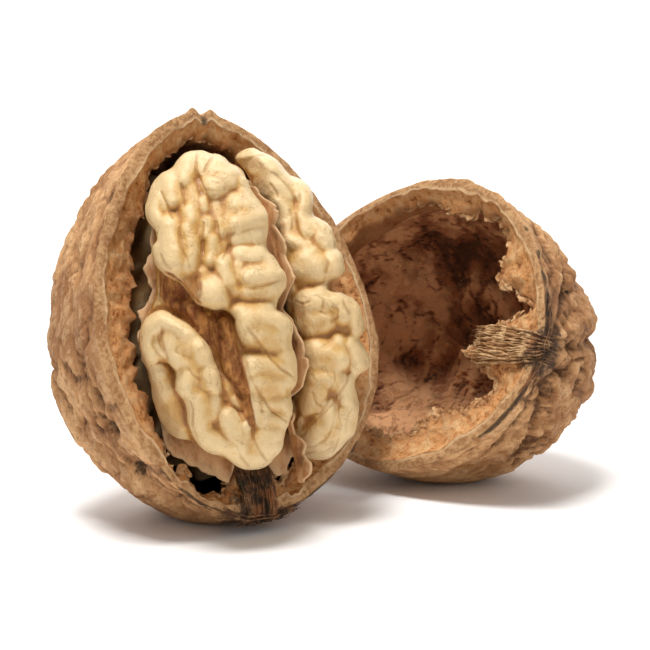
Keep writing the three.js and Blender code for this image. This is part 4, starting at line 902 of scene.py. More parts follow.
def netSurface(block):
    # One vertex for each cell that the surface crosses, and a quad for each crossed grid edge.
    v = block.values
    v = np.where(np.abs(v) < 1e-4, 1e-4, v)
    inside = v < 0
    shape = np.array(v.shape)
    cells = shape - 1
    mask = np.zeros(cells, dtype=int)
    corners = [(a, b, c) for c in (0, 1) for b in (0, 1) for a in (0, 1)]
    for a, b, c in corners:
        mask += inside[a:a + cells[0], b:b + cells[1], c:c + cells[2]]
    active = (mask > 0) & (mask < 8)
    number = np.full(cells, -1)
    number[active] = np.arange(active.sum())
    where = np.argwhere(active)
    total = np.zeros((len(where), 3))
    count = np.zeros(len(where))
    edges = [(m, n) for m in range(8) for n in range(m + 1, 8)
             if sum(abs(corners[m][k] - corners[n][k]) for k in range(3)) == 1]
    for m, n in edges:
        pa, pb = np.array(corners[m]), np.array(corners[n])
        va = v[tuple((where + pa).T)]
        vb = v[tuple((where + pb).T)]
        crossed = (va < 0) != (vb < 0)
        t = np.where(crossed, va / np.where(crossed, va - vb, 1.0), 0.0)
        total += crossed[:, None] * (pa + (pb - pa) * t[:, None])
        count += crossed
    points = block.low + block.cell * (where + total / count[:, None])
    faces = []
    for axis in range(3):
        u, w = (axis + 1) % 3, (axis + 2) % 3
        low = [slice(1, shape[k] - 1) for k in range(3)]
        high = list(low)
        high[axis] = slice(2, shape[axis])
        first = inside[tuple(low)]
        second = inside[tuple(high)]
        for rising in (True, False):
            hit = np.argwhere((first == rising) & (second != rising)) + 1
            stepU = np.eye(3, dtype=int)[u]
            stepW = np.eye(3, dtype=int)[w]
            quad = [number[tuple((hit - du * stepU - dw * stepW).T)]
                    for du, dw in ((0, 0), (1, 0), (1, 1), (0, 1))]
            quad = np.stack(quad if rising else quad[::-1], axis=1)
            faces.append(quad)
    return points, np.vstack(faces)


def relaxNet(points, faces, rounds):
    for _ in range(rounds):
        total = np.zeros_like(points)
        count = np.zeros(len(points))
        for k in range(4):
            a, b = faces[:, k], faces[:, (k + 1) % 4]
            np.add.at(total, a, points[b])
            np.add.at(total, b, points[a])
            np.add.at(count, a, 1)
            np.add.at(count, b, 1)
        points = 0.5 * points + 0.5 * total / count[:, None]
    return points


def netNormals(points, faces):
    a, b, c, d = (points[faces[:, k]] for k in range(4))
    across = np.cross(c - a, d - b)
    total = np.zeros_like(points)
    for k in range(4):
        np.add.at(total, faces[:, k], across)
    return total / np.maximum(np.linalg.norm(total, axis=1), 1e-9)[:, None]


def kernelPiece(name, block, picture=None):
    points, faces = netSurface(block)
    points = relaxNet(points, faces, 1)
    # Painted shade: the crease mark is how deep a point lies in the blurred body, so creases are painted darker and
    # ridges, below zero, paler.
    clipped = clampTo(block.values, -1.6, 1.6)
    near = boxBlur(boxBlur(clipped, 2), 2)
    creaseShade = clampTo(-sampleBlock(block, near, points) * 2.6, -1.0, 1.0)
    marks = columns(creaseShade, 0.0, 0.0)
    if picture is not None:
        x, y = toPicture(kernelMiddle + points @ kernelAxes)
        deep = np.minimum(lobeDistance(lobeA, points), lobeDistance(lobeB, points))
        facing = netNormals(points, faces) @ (kernelAxes @ -lookAlong)
        share = smoothStep(0.15, 0.45, facing) * smoothStep(-4.2, -3.2, deep)
        # On the front, the crease and hollow maps carry the same painted shade and ridge lightening.
        front = 0.8 * picture.read("creaseShade", x, y) + 0.65 * picture.read("hollow", x, y)
        marks[:, 0] = creaseShade + (front - creaseShade) * 0.8 * share
        marks[:, 1] = picture.read("skin", x, y) * share
        marks[:, 2] = picture.read("vein", x, y) * share
    print(name, len(points), "vertices")
    return makeMesh(name, toPart(filledHalf, points), faces, marks, points)


# Partition and web, thin and torn.
webHeights = [
    (-16, 1.2), (-15, 4.6), (-14, 5.2), (-13, 4.3), (-12, 4.9), (-10.5, 3.4), (-9, 3.9), (-7.4, 3.6),
    (-6.6, 6.4), (-5.4, 7.6), (-4, 7.2), (-2.6, 7.7), (-1.2, 7.0), (0.2, 6.2), (1.4, 5.6), (2.6, 6.9),
    (3.8, 8.3), (5.0, 7.9), (6.4, 7.2), (8.0, 7.5), (9.6, 6.7), (11.4, 7.1), (12.6, 6.1), (14, 5.4),
    (15, 3.6)]
sheetDetail = {"around": 420, "rings": 40, "edge": 0.3, "webLength": 420, "webRows": 34}


def septumSheet():
    angle = 2.0 * math.pi * np.arange(sheetDetail["around"]) / sheetDetail["around"]
    rim = seamRadius(filledHalf, angle)
    width = np.maximum(flangeWidth(filledHalf, angle), nut["wall"] + 0.6)
    ring = columns(rim * np.cos(angle), 0.0, rim * np.sin(angle))
    ragged = 0.7 * roughNoise(ring, 7.0, 401, 2) + sheetDetail["edge"] * roughNoise(ring, 1.6, 411, 4) - 0.45
    degrees = np.degrees(angle)
    ragged = ragged - 1.0 * smoothStep(8, 34, degrees) * smoothStep(112, 80, degrees)
    ragged = ragged - 0.6 * smoothStep(300, 325, degrees) - 0.6 * smoothStep(16, 8, degrees)
    reach = rim - width - nut["fitGap"] + np.minimum(ragged, 0.15)
    lower, upper, marks = [], [], []
    for k in range(1, sheetDetail["rings"] + 1):
        share = (k / sheetDetail["rings"]) ** 0.7
        x = share * reach * np.cos(angle)
        z = share * reach * np.sin(angle)
        flat = columns(x, 0.0, z)
        level = partitionLevel(x, z) + 0.12 * roughNoise(flat, 2.0, 405)
        half = kernelPart["partition"] / 2 * (1.0 - 0.75 * share ** 6)
        lower.append(columns(x, level - half, z))
        upper.append(columns(x, level + half, z))
        marks.append(columns(share, 0.0, 0.0 * x))
    return closedSkin("septum_sheet_piece", filledHalf, lower + upper[::-1], marks + marks[::-1])


def septumWeb():
    count, rows = sheetDetail["webLength"], sheetDetail["webRows"]
    z = np.linspace(-15.6, 15.0, count)
    table = np.array(webHeights)
    flat = columns(z, 0.0, 0.0)
    torn = 0.5 * roughNoise(flat, 3.4, 421, 4) + 0.5 * smoothStep(0.45, 0.9, latticeNoise(flat, 1.5, 427))
    floor = 3.1
    top = np.maximum(np.interp(z, table[:, 0], table[:, 1]) + torn, floor + 0.5)
    loops = []
    marks = []
    order = list(range(rows)) + list(range(rows - 1, -1, -1))
    for index, r in enumerate(order):
        side = 1.0 if index < rows else -1.0
        share = r / (rows - 1)
        y = floor + (top - floor) * share
        curl = 0.25 * latticeNoise(columns(z, y, 0.0), 2.4, 431) * share
        thin = kernelPart["web"] / 2 * (1.0 - 0.6 * share)
        x = webPlace(z) + side * thin + curl * 0.8
        loops.append(columns(x, y, z))
        marks.append(columns(share, 0.0, 0.0 * z))
    points = np.vstack(loops)
    values = np.vstack(marks)
    loopCount = len(order)
    faces = []
    j = np.arange(count - 1)
    for k in range(loopCount):
        a = k * count
        b = ((k + 1) % loopCount) * count
        faces.append(np.stack([a + j, b + j, b + j + 1, a + j + 1], axis=1))
    ends = []
    for k in range(rows - 1):
        a, b = k * count, (k + 1) * count
        c, d = (loopCount - 1 - k) * count, (loopCount - 2 - k) * count
        ends.append([a, c, d, b])
        ends.append([a + count - 1, b + count - 1, d + count - 1, c + count - 1])
    faces.append(np.array(ends))
    return makeMesh("septum_web_piece", toPart(filledHalf, points), np.vstack(faces), values, points)


# Shader maths: a socket with operators, and one method for every other node.
class Wire:
    def __init__(self, tree, socket):
        self.tree = tree
        self.socket = socket

    def maths(self, operation, other=0.0, flip=False):
        values = [other, self] if flip else [self, other]
        return self.tree.node("ShaderNodeMath", {"operation": operation}, values)

    def __add__(self, other):
        return self.maths("ADD", other)

    def __sub__(self, other):
        return self.maths("SUBTRACT", other)

    def __rsub__(self, other):
        return self.maths("SUBTRACT", other, flip=True)

    def __mul__(self, other):
        return self.maths("MULTIPLY", other)

    def __truediv__(self, other):
        return self.maths("DIVIDE", other)

    def __pow__(self, other):
        return self.maths("POWER", other)

    def __abs__(self):
        return self.maths("ABSOLUTE")

    __radd__ = __add__
    __rmul__ = __mul__

    def high(self, other):
        return self.maths("MAXIMUM", other)


class Tree:
    def node(self, kind, settings, values, output=0):
        made = self.nodes.new(kind)
        for key, value in settings.items():
            setattr(made, key, value)
        pairs = values.items() if isinstance(values, dict) else enumerate(values)
        for key, value in pairs:
            if isinstance(value, Wire):
                self.links.new(value.socket, made.inputs[key])
            else:
                made.inputs[key].default_value = value
        return Wire(self, made.outputs[output]) if made.outputs else None

    def parts(self, vector):
        split = self.node("ShaderNodeSeparateXYZ", {}, [vector])
        return [Wire(self, socket) for socket in split.socket.node.outputs]


class FinishTree(Tree):
    def __init__(self, name):
        self.material = bpy.data.materials.new(name)
        self.material.use_nodes = True
        self.nodes = self.material.node_tree.nodes
        self.links = self.material.node_tree.links
        self.nodes.clear()
        self.place = self.node("ShaderNodeTexCoord", {}, {}, "Object")

    def noise(self, scale, detail=4.0, rough=0.55, place=None, distortion=0.0):
        return self.node("ShaderNodeTexNoise", {"noise_dimensions": "3D"},
                         {"Vector": place or self.place, "Scale": scale, "Detail": detail,
                          "Roughness": rough, "Distortion": distortion})

    def stretch(self, scale, place):
        return self.node("ShaderNodeMapping", {}, {"Vector": place, "Scale": scale})

    def step(self, value, low, high, toLow=0.0, toHigh=1.0):
        return self.node("ShaderNodeMapRange", {"interpolation_type": "SMOOTHSTEP"},
                         {"Value": value, "From Min": low, "From Max": high, "To Min": toLow, "To Max": toHigh})

    def mix(self, share, first, second):
        return self.node("ShaderNodeMix", {"data_type": "RGBA"}, {0: share, 6: first, 7: second}, 2)

    def mark(self, name="marks"):
        return self.node("ShaderNodeAttribute", {"attribute_name": name}, {}, "Vector")

    def bump(self, height, strength, distance):
        return self.node("ShaderNodeBump", {}, {"Height": height, "Strength": strength, "Distance": distance})

    def finish(self, color, roughness, normal, fixed):
        values = {"Base Color": color, "Roughness": roughness, "Normal": normal, **fixed}
        shader = self.node("ShaderNodeBsdfPrincipled", {}, values, "BSDF")
        self.node("ShaderNodeOutputMaterial", {}, {"Surface": shader})
        return self.material


def rgb(r, g, b):
    return (r, g, b, 1.0)


# Shell colours. The pale edge colour is wear on the seam strip and painted highlight on the raised lumps; furrow and
# pit also paint shade in the furrows and pits; the inner wall's highlight colour is painted highlight on torn plate
# edges and the lit side.
shellFinish = {
    "pale": rgb(0.66, 0.37, 0.165), "brown": rgb(0.37, 0.172, 0.066), "red": rgb(0.26, 0.105, 0.04),
    "furrow": rgb(0.085, 0.035, 0.014), "pit": rgb(0.018, 0.011, 0.008),
    "strip": rgb(0.56, 0.33, 0.155), "stripDark": rgb(0.33, 0.155, 0.06), "wornEdgeAndLumpHighlight": rgb(0.76, 0.53, 0.30),
    "band": rgb(0.66, 0.305, 0.108), "bandPale": rgb(0.76, 0.47, 0.225), "bandDark": rgb(0.26, 0.09, 0.028),
    "inside": rgb(0.35, 0.125, 0.048), "insidePale": rgb(0.80, 0.40, 0.185), "insideDark": rgb(0.05, 0.017, 0.008),
    "wallHighlight": rgb(0.66, 0.41, 0.22), "stain": rgb(0.035, 0.022, 0.016),
}


def shellMaterial(name, insideLight):
    tree = FinishTree(name)
    c = shellFinish
    hollow, zone, extra = tree.parts(tree.mark())
    place = tree.mark("place")
    x, y, z = tree.parts(place)
    broad = tree.noise(160.0, 4.0, 0.55, place)
    streak = tree.noise(700.0, 6.0, 0.65, tree.stretch((1.0, 1.0, 0.3), place))
    fine = tree.noise(1900.0, 5.0, 0.7, place)
    grain = tree.noise(5200.0, 3.0, 0.6, place)
    outside = tree.mix(tree.step(broad * 0.4 + streak * 0.6, 0.38, 0.6), c["brown"], c["pale"])
    outside = tree.mix(tree.step(tree.noise(95.0, 3.0, 0.5, place), 0.5, 0.66) * 0.55, outside, c["red"])
    outside = tree.mix(tree.step(fine, 0.46, 0.34) * 0.55, outside, c["red"])
    # Raised lumps painted paler as painted highlight; hollows painted red, then near-black, as painted shade in the
    # furrows and pits.
    outside = tree.mix(tree.step(hollow, 0.12, 0.02) * tree.step(fine, 0.4, 0.6) * 0.35, outside, c["wornEdgeAndLumpHighlight"])
    outside = tree.mix(tree.step(hollow + (fine - 0.5) * 1.1, 0.1, 0.5) * 0.45, outside, c["red"])
    outside = tree.mix(tree.step(hollow + (fine - 0.5) * 1.3, 0.34, 0.95) * 0.9, outside, c["furrow"])
    ragged = (fine - 0.5) * 0.9 + (streak - 0.5) * 0.9
    # Near-black as painted shade in the placed pits, and for the suture and the tip stain.
    outside = tree.mix(tree.step(extra + ragged, 0.3, 0.85) * 0.9, outside, c["pit"])
    strip = tree.mix(tree.step(streak * 0.4 + fine * 0.6, 0.4, 0.58), c["stripDark"], c["strip"])
    strip = tree.mix(tree.step(hollow, 0.62, 0.98) * tree.step(broad, 0.4, 0.6) * 0.8, strip, c["wornEdgeAndLumpHighlight"])
    ragged = (fine - 0.5) * 1.2 + (streak - 0.5) * 1.4
    strip = tree.mix(tree.step(extra + ragged, 0.35, 0.9) * 0.8, strip, c["pit"])
    bandTone = tree.noise(900.0, 9.0, 0.74, place)
    band = tree.mix(tree.step(bandTone, 0.45, 0.62), c["band"], c["bandPale"])
    band = tree.mix(tree.step(bandTone, 0.46, 0.36) * 0.9, band, c["bandDark"])
    band = tree.mix(tree.step(hollow + (bandTone - 0.5) * 0.8, 0.55, 1.05) * 0.6, band, c["bandDark"])
    wallTone = tree.noise(420.0, 9.0, 0.7, place, 0.8)
    wall = tree.mix(tree.step(hollow * 0.55 + wallTone * 0.45, 0.4, 0.68), c["inside"], c["insidePale"])
    wall = tree.mix(tree.step(hollow * 0.6 + fine * 0.4, 0.42, 0.18) * 0.85, wall, c["insideDark"])
    # Painted highlight: the torn plate edges are painted paler.
    wall = tree.mix(tree.step(extra + (fine - 0.5) * 1.2, 0.55, 1.1) * 0.35, wall, c["wallHighlight"])
    # Painted light: the lower side of the hollow, where the light falls, is painted paler.
    lowerLitSide = tree.step(x + (wallTone - 0.5) * 0.02, -0.004, 0.009)
    wall = tree.mix(lowerLitSide * tree.step(fine, 0.42, 0.56) * 0.3, wall, c["wallHighlight"])
    if insideLight < 1.0:
        wall = tree.mix(1.0 - insideLight, wall, c["insideDark"])
    wallShare = tree.step(zone, 0.8, 0.95)
    color = tree.mix(tree.step(zone, 0.1, 0.2), outside, strip)
    color = tree.mix(tree.step(zone, 0.36, 0.42), color, band)
    color = tree.mix(wallShare, color, wall)
    stemAway = (x * x + (z + 0.0183) * (z + 0.0183) + y * y * 0.5) ** 0.5
    stain = tree.step(stemAway + (streak - 0.5) * 0.007 + (fine - 0.5) * 0.003, 0.0036, 0.0018)
    color = tree.mix(stain * 0.85, color, c["stain"])
    rough = tree.step(fine, 0.25, 0.75, 0.55, 0.84)
    crumple = tree.noise(240.0, 8.0, 0.62, place, 1.2)
    height = streak * 0.45 + fine * 0.55 + grain * 0.12 + broad * 0.2 + bandTone * tree.step(zone, 0.3, 0.42) * 0.7
    height = height + (crumple * 2.6 + wallTone) * wallShare
    normal = tree.bump(height, 1.0, 0.0006)
    return tree.finish(color, rough, normal, {"IOR": 1.42, "Specular IOR Level": 0.22})


# Kernel colours. pale also paints ridges as painted highlight, tan and the crease colour paint shade in the creases,
# and the last colour is painted shade for the back kernel.
kernelFinish = {
    "flesh": rgb(0.57, 0.33, 0.098), "pale": rgb(0.72, 0.535, 0.285), "tan": rgb(0.45, 0.215, 0.048),
    "creaseShade": rgb(0.30, 0.12, 0.03), "vein": rgb(0.34, 0.155, 0.045), "skin": rgb(0.21, 0.056, 0.008),
    "skinPale": rgb(0.57, 0.25, 0.065), "shadeAndDullness": rgb(0.12, 0.06, 0.022),
}


def kernelMaterial(name, shadeAndDullness):
    tree = FinishTree(name)
    c = kernelFinish
    creaseShade, skin, veinMark = tree.parts(tree.mark())
    place = tree.mark("place")
    tone = tree.noise(150.0, 3.0, 0.5, place)
    mottle = tree.noise(900.0, 6.0, 0.65, place)
    speckle = tree.noise(3200.0, 4.0, 0.7, place)
    veinNoise = tree.noise(380.0, 4.0, 0.55, place, 0.5)
    gate = tree.step(tree.noise(240.0, 2.0, 0.5, place), 0.46, 0.62)
    vein = tree.step(abs(veinNoise - 0.5), 0.014, 0.002) * gate * 0.55
    vein = vein.high(tree.step(veinMark + (mottle - 0.5) * 0.7, 0.2, 0.95))
    color = tree.mix(tree.step(tone * 0.6 + mottle * 0.4, 0.42, 0.64), c["flesh"], c["pale"])
    # The crease mark paints ridges paler as painted highlight, and creases tan, then darker, as painted shade.
    color = tree.mix(tree.step(creaseShade, 0.0, -0.6) * 0.75, color, c["pale"])
    color = tree.mix(tree.step(speckle * 0.6 + mottle * 0.4, 0.44, 0.34) * 0.45, color, c["tan"])
    color = tree.mix(tree.step(creaseShade, 0.02, 0.5) * 0.9, color, c["tan"])
    color = tree.mix(tree.step(creaseShade, 0.42, 1.1) * 0.85, color, c["creaseShade"])
    fibre = tree.noise(1300.0, 6.0, 0.7, tree.stretch((1.0, 1.0, 0.22), place), 0.5)
    papery = tree.mix(tree.step(mottle * 0.4 + fibre * 0.6, 0.42, 0.6), c["skin"], c["skinPale"])
    color = tree.mix(tree.step(skin + (mottle - 0.5) * 0.8, 0.25, 0.7), color, papery)
    color = tree.mix(vein * 0.5, color, c["vein"])
    # Painted shade: the back kernel is painted darker; the same setting also makes its surface rougher and less
    # shiny.
    if shadeAndDullness > 0:
        color = tree.mix(shadeAndDullness, color, c["shadeAndDullness"])
    heightMap = tone * 0.4 + mottle * 0.55 + speckle * 0.16 - vein * 0.2 + fibre * skin * 1.4
    normal = tree.bump(heightMap, 0.9, 0.00045)
    rough = tree.step(mottle + skin * 0.4, 0.3, 0.9, 0.26 + 0.5 * shadeAndDullness, 0.56 + 0.3 * shadeAndDullness)
    fixed = {"IOR": 1.45, "Specular IOR Level": 0.5 - 0.45 * shadeAndDullness, "Subsurface Weight": 0.05,
             "Subsurface Radius": (0.0012, 0.0007, 0.0003), "Subsurface Scale": 0.5}
    return tree.finish(color, rough, normal, fixed)


sheetFinish = {"brown": rgb(0.41, 0.185, 0.07), "pale": rgb(0.62, 0.35, 0.165), "dark": rgb(0.13, 0.05, 0.02),
               "edge": rgb(0.64, 0.42, 0.23)}


def sheetMaterial(name, edgeFrom):
    tree = FinishTree(name)
    c = sheetFinish
    share, _, _ = tree.parts(tree.mark())
    place = tree.mark("place")
    fibre = tree.noise(700.0, 7.0, 0.7, tree.stretch((1.0, 1.0, 0.4), place))
    tone = tree.noise(240.0, 4.0, 0.6, place)
    color = tree.mix(tree.step(fibre, 0.4, 0.62), c["brown"], c["pale"])
    color = tree.mix(tree.step(tone, 0.5, 0.36) * 0.7, color, c["dark"])
    color = tree.mix(tree.step(share + (fibre - 0.5) * 0.2, edgeFrom, 1.0) * 0.8, color, c["edge"])
    normal = tree.bump(fibre + tone * 0.5, 0.8, 0.0003)
    rough = tree.step(fibre, 0.3, 0.7, 0.6, 0.85)
    return tree.finish(color, rough, normal, {"IOR": 1.4, "Specular IOR Level": 0.2})


fibreFinish = {"dark": rgb(0.055, 0.034, 0.022), "brown": rgb(0.19, 0.095, 0.045), "red": rgb(0.36, 0.15, 0.06),
               "pale": rgb(0.66, 0.43, 0.22), "green": rgb(0.12, 0.12, 0.055), "tan": rgb(0.40, 0.21, 0.09)}


def fibreMaterial(name, paleFrom):
    tree = FinishTree(name)
    c = fibreFinish
    tone = tree.noise(900.0, 4.0, 0.6)
    blend = tree.noise(330.0, 2.0, 0.5)
    fine = tree.noise(4200.0, 4.0, 0.7)
    color = tree.mix(tree.step(tone, 0.42, 0.58), c["dark"], c["brown"])
    color = tree.mix(tree.step(blend, 0.54, 0.66) * 0.8, color, c["red"])
    color = tree.mix(tree.step(tone * 0.5 + fine * 0.5, 0.56, 0.66) * 0.7, color, c["pale"])
    color = tree.mix(tree.step(blend, 0.42, 0.34) * tree.step(fine, 0.5, 0.6) * 0.7, color, c["green"])
    along = tree.node("ShaderNodeAttribute", {"attribute_name": "along"}, {}, "Fac")
    tip = tree.step(along + (tone - 0.5) * 0.5, paleFrom - 0.12, paleFrom + 0.12)
    color = tree.mix(tip * 0.9, color, tree.mix(tree.step(tone, 0.44, 0.6), c["tan"], c["pale"]))
    normal = tree.bump(fine + tone, 0.8, 0.0002)
    rough = tree.step(fine, 0.3, 0.7, 0.6, 0.85)
    return tree.finish(color, rough, normal, {"IOR": 1.42, "Specular IOR Level": 0.2})


flakeFinish = {"brown": rgb(0.40, 0.185, 0.07), "pale": rgb(0.64, 0.40, 0.20), "dark": rgb(0.15, 0.06, 0.022)}


def flakeMaterial(name):
    tree = FinishTree(name)
    c = flakeFinish
    tone = tree.noise(520.0, 5.0, 0.65)
    fine = tree.noise(3000.0, 5.0, 0.7)
    color = tree.mix(tree.step(tone * 0.6 + fine * 0.4, 0.42, 0.6), c["brown"], c["pale"])
    color = tree.mix(tree.step(tone, 0.44, 0.34) * 0.8, color, c["dark"])
    normal = tree.bump(fine * 0.6 + tone, 0.8, 0.00025)
    rough = tree.step(fine, 0.3, 0.7, 0.6, 0.86)
    return tree.finish(color, rough, normal, {"IOR": 1.42, "Specular IOR Level": 0.2})


# Shapes that repeat along a line: fibres, and torn papery flakes.
class ShapeTree(Tree):
    def __init__(self, name, inputs):
        self.group = bpy.data.node_groups.new(name, "GeometryNodeTree")
        self.nodes = self.group.nodes
        self.links = self.group.links
        sockets = self.group.interface
        sockets.new_socket("Guide", in_out="INPUT", socket_type="NodeSocketGeometry")
        for label, kind in inputs.items():
            sockets.new_socket(label, in_out="INPUT", socket_type="NodeSocket" + kind)
        sockets.new_socket("Shape", in_out="OUTPUT", socket_type="NodeSocketGeometry")
        self.start = self.node("NodeGroupInput", {}, {})

    def input(self, label):
        return Wire(self, self.start.socket.node.outputs[label])

    def random(self, low, high, seed, index=None):
        copy = {} if index is None else {7: index}
        return self.node("FunctionNodeRandomValue", {"data_type": "FLOAT_VECTOR"},
                         {0: low, 1: high, 8: seed, **copy})

    def wander(self, size, shift):
        # Noise centred on nothing, by position.
        place = self.node("GeometryNodeInputPosition", {}, {})
        scattered = self.node("ShaderNodeTexNoise", {"noise_dimensions": "4D"},
                              {"Vector": place, "W": shift, "Scale": size, "Detail": 2.0}, "Color")
        return self.node("ShaderNodeVectorMath", {"operation": "SUBTRACT"}, {0: scattered, 1: (0.5, 0.5, 0.5)})

    def times(self, vector, amount):
        return self.node("ShaderNodeVectorMath", {"operation": "SCALE"}, {0: vector, 3: amount})

    def close(self, shape):
        whole = self.node("GeometryNodeRealizeInstances", {}, {0: shape})
        dressed = self.node("GeometryNodeSetMaterial", {}, {"Geometry": whole, "Material": self.input("Finish")})
        self.node("NodeGroupOutput", {}, [dressed])
        return self.group


def strandTree():
    tree = ShapeTree("strands", {"Copies": "Int", "Thickness": "Float", "Spread": "Vector", "Waviness": "Float",
                                 "Seed": "Int", "Finish": "Material"})
    lines = tree.node("GeometryNodeMeshToCurve", {}, {0: tree.input("Guide")})
    lines = tree.node("GeometryNodeResampleCurve", {}, {"Curve": lines, "Count": 15})
    many = tree.node("GeometryNodeDuplicateElements", {"domain": "SPLINE"},
                     {"Geometry": lines, "Amount": tree.input("Copies")})
    copy = Wire(tree, many.socket.node.outputs["Duplicate Index"])
    share = tree.node("GeometryNodeSplineParameter", {}, {}, "Factor")
    low = tree.times(tree.input("Spread"), -1.0)
    apart = tree.random(low, tree.input("Spread"), tree.input("Seed"), copy)
    wave = tree.times(tree.wander(0.55, copy * 3.7), tree.input("Waviness"))
    moved = tree.node("GeometryNodeSetPosition", {}, {"Geometry": many, "Offset": apart})
    moved = tree.node("GeometryNodeSetPosition", {}, {"Geometry": moved, "Offset": wave})
    slim = tree.random((0.2, 0, 0), (1.1, 0, 0), tree.input("Seed") + 5, copy)
    slim = tree.node("ShaderNodeVectorMath", {"operation": "LENGTH"}, {0: slim}, "Value")
    ends = (1.04 - abs(share * 2.0 - 1.0) ** 3.0) * slim * tree.input("Thickness")
    profile = tree.node("GeometryNodeCurvePrimitiveCircle", {}, {"Resolution": 6, "Radius": 1.0})
    moved = tree.node("GeometryNodeStoreNamedAttribute", {"data_type": "FLOAT", "domain": "POINT"},
                      {"Geometry": moved, "Name": "along", "Value": share})
    tube = tree.node("GeometryNodeCurveToMesh", {},
                     {"Curve": moved, "Profile Curve": profile, "Scale": ends, "Fill Caps": True})
    return tree.close(tube)


def flakeTree():
    tree = ShapeTree("flakes", {"Count": "Int", "Size": "Float", "Ragged": "Float", "Seed": "Int",
                                "Finish": "Material"})
    line = tree.node("GeometryNodeMeshToCurve", {}, {0: tree.input("Guide")})
    spots = tree.node("GeometryNodeCurveToPoints", {"mode": "COUNT"}, {"Curve": line, "Count": tree.input("Count")})
    flake = tree.node("GeometryNodeMeshCube", {},
                      {"Size": (1.9, 1.3, 0.07), "Vertices X": 8, "Vertices Y": 6, "Vertices Z": 2})
    x, y, z = tree.parts(tree.node("GeometryNodeInputPosition", {}, {}))
    along = (y + 0.65) / 1.3
    narrow = 1.0 - 0.6 * along ** 2.0
    bow = z + 0.25 * along * along - 0.12 * x * x
    bent = tree.node("ShaderNodeCombineXYZ", {}, {"X": x * narrow, "Y": y + 0.5, "Z": bow})
    flake = tree.node("GeometryNodeSetPosition", {}, {"Geometry": flake, "Position": bent})
    aim = tree.node("GeometryNodeInputNamedAttribute", {"data_type": "FLOAT_VECTOR"}, {"Name": "aim"})
    lift = tree.node("GeometryNodeInputNamedAttribute", {"data_type": "FLOAT_VECTOR"}, {"Name": "lift"})
    turn = tree.node("FunctionNodeAlignRotationToVector", {"axis": "Y"}, {"Vector": aim})
    turn = tree.node("FunctionNodeAlignRotationToVector", {"axis": "Z", "pivot_axis": "Y"},
                     {"Rotation": turn, "Vector": lift})
    spin = tree.random((-0.35, -0.3, -0.6), (0.5, 0.3, 0.6), tree.input("Seed"))
    turn = tree.node("FunctionNodeRotateRotation", {"rotation_space": "LOCAL"}, {"Rotation": turn, "Rotate By": spin})
    grow = tree.times(tree.random((0.35, 0.25, 0.8), (1.3, 1.1, 1.0), tree.input("Seed") + 1), tree.input("Size"))
    many = tree.node("GeometryNodeInstanceOnPoints", {},
                     {"Points": spots, "Instance": flake, "Rotation": turn, "Scale": grow})
    whole = tree.node("GeometryNodeRealizeInstances", {}, {0: many})
    torn = tree.times(tree.wander(1.9, 2.0), tree.input("Ragged"))
    whole = tree.node("GeometryNodeSetPosition", {}, {"Geometry": whole, "Offset": torn})
    return tree.close(whole)


def guideMesh(name, lines, aims=None, lifts=None):
    points = [tuple(p) for line in lines for p in line]
    edges = []
    start = 0
    for line in lines:
        edges += [(start + k, start + k + 1) for k in range(len(line) - 1)]
        start += len(line)
    mesh = bpy.data.meshes.new(name)
    mesh.from_pydata(points, edges, [])
    for label, vectors in (("aim", aims), ("lift", lifts)):
        if vectors is not None:
            attribute = mesh.attributes.new(label, "FLOAT_VECTOR", "POINT")
            attribute.data.foreach_set("vector", np.concatenate(vectors).astype(np.float32).ravel())
    return mesh


def growPiece(name, half, guide, group, settings):
    # Runs a node tree on its guide, in the half's own millimetres, and keeps the result as a plain mesh.
    holder = bpy.data.objects.new(name + "Guide", guide)
    bpy.context.scene.collection.objects.link(holder)
    modifier = holder.modifiers.new("grow", "NODES")
    modifier.node_group = group
    for item in group.interface.items_tree:
        if item.in_out == "INPUT" and item.name in settings:
            modifier[item.identifier] = settings[item.name]
    graph = bpy.context.evaluated_depsgraph_get()
    mesh = bpy.data.meshes.new_from_object(holder.evaluated_get(graph))
    holder.modifiers.remove(modifier)
    bpy.data.objects.remove(holder)
    local = np.zeros(len(mesh.vertices) * 3)
    mesh.vertices.foreach_get("co", local)
    mesh.vertices.foreach_set("co", toPart(half, local.reshape(-1, 3)).ravel())
    mesh.polygons.foreach_set("use_smooth", np.ones(len(mesh.polygons), dtype=bool))
    mesh.name = name
    mesh.update()
    piece = bpy.data.objects.new(name, mesh)
    bpy.context.scene.collection.objects.link(piece)
    print(name, len(mesh.polygons), "faces")
    return piece


def overRim(half, degrees, insets, middle=0.0, gather=1.0):
    # A line over the seam as (inset from the outer edge, height), gathered towards one angle at that edge.
    line = []
    for inset, height in insets:
        keep = gather + (1.0 - gather) * min(1.0, max(0.0, inset / insets[-1][0]))
        angle = math.radians(middle + (degrees - middle) * keep)
        reach = float(seamRadius(half, np.array([angle]))[0]) - inset
        line.append(np.array([reach * math.cos(angle), height, reach * math.sin(angle)]))
    return line


def lipGuide(half, first, last):
    # Just inside the flange's torn edge, with the way the flakes point and the side they lie on.
    angle = np.radians(np.linspace(first, last, max(8, int(abs(last - first) * 1.5))))
    lip, _ = seamFace(half, angle, 1.0)
    out = np.stack([np.cos(angle), 0 * angle, np.sin(angle)], axis=1)
    line = lip + out * 0.35 + np.array([0.0, -0.15, 0.0])
    return line, -out + np.array([0.0, -0.25, 0.0]), np.tile([0.0, 1.0, 0.0], (len(angle), 1))


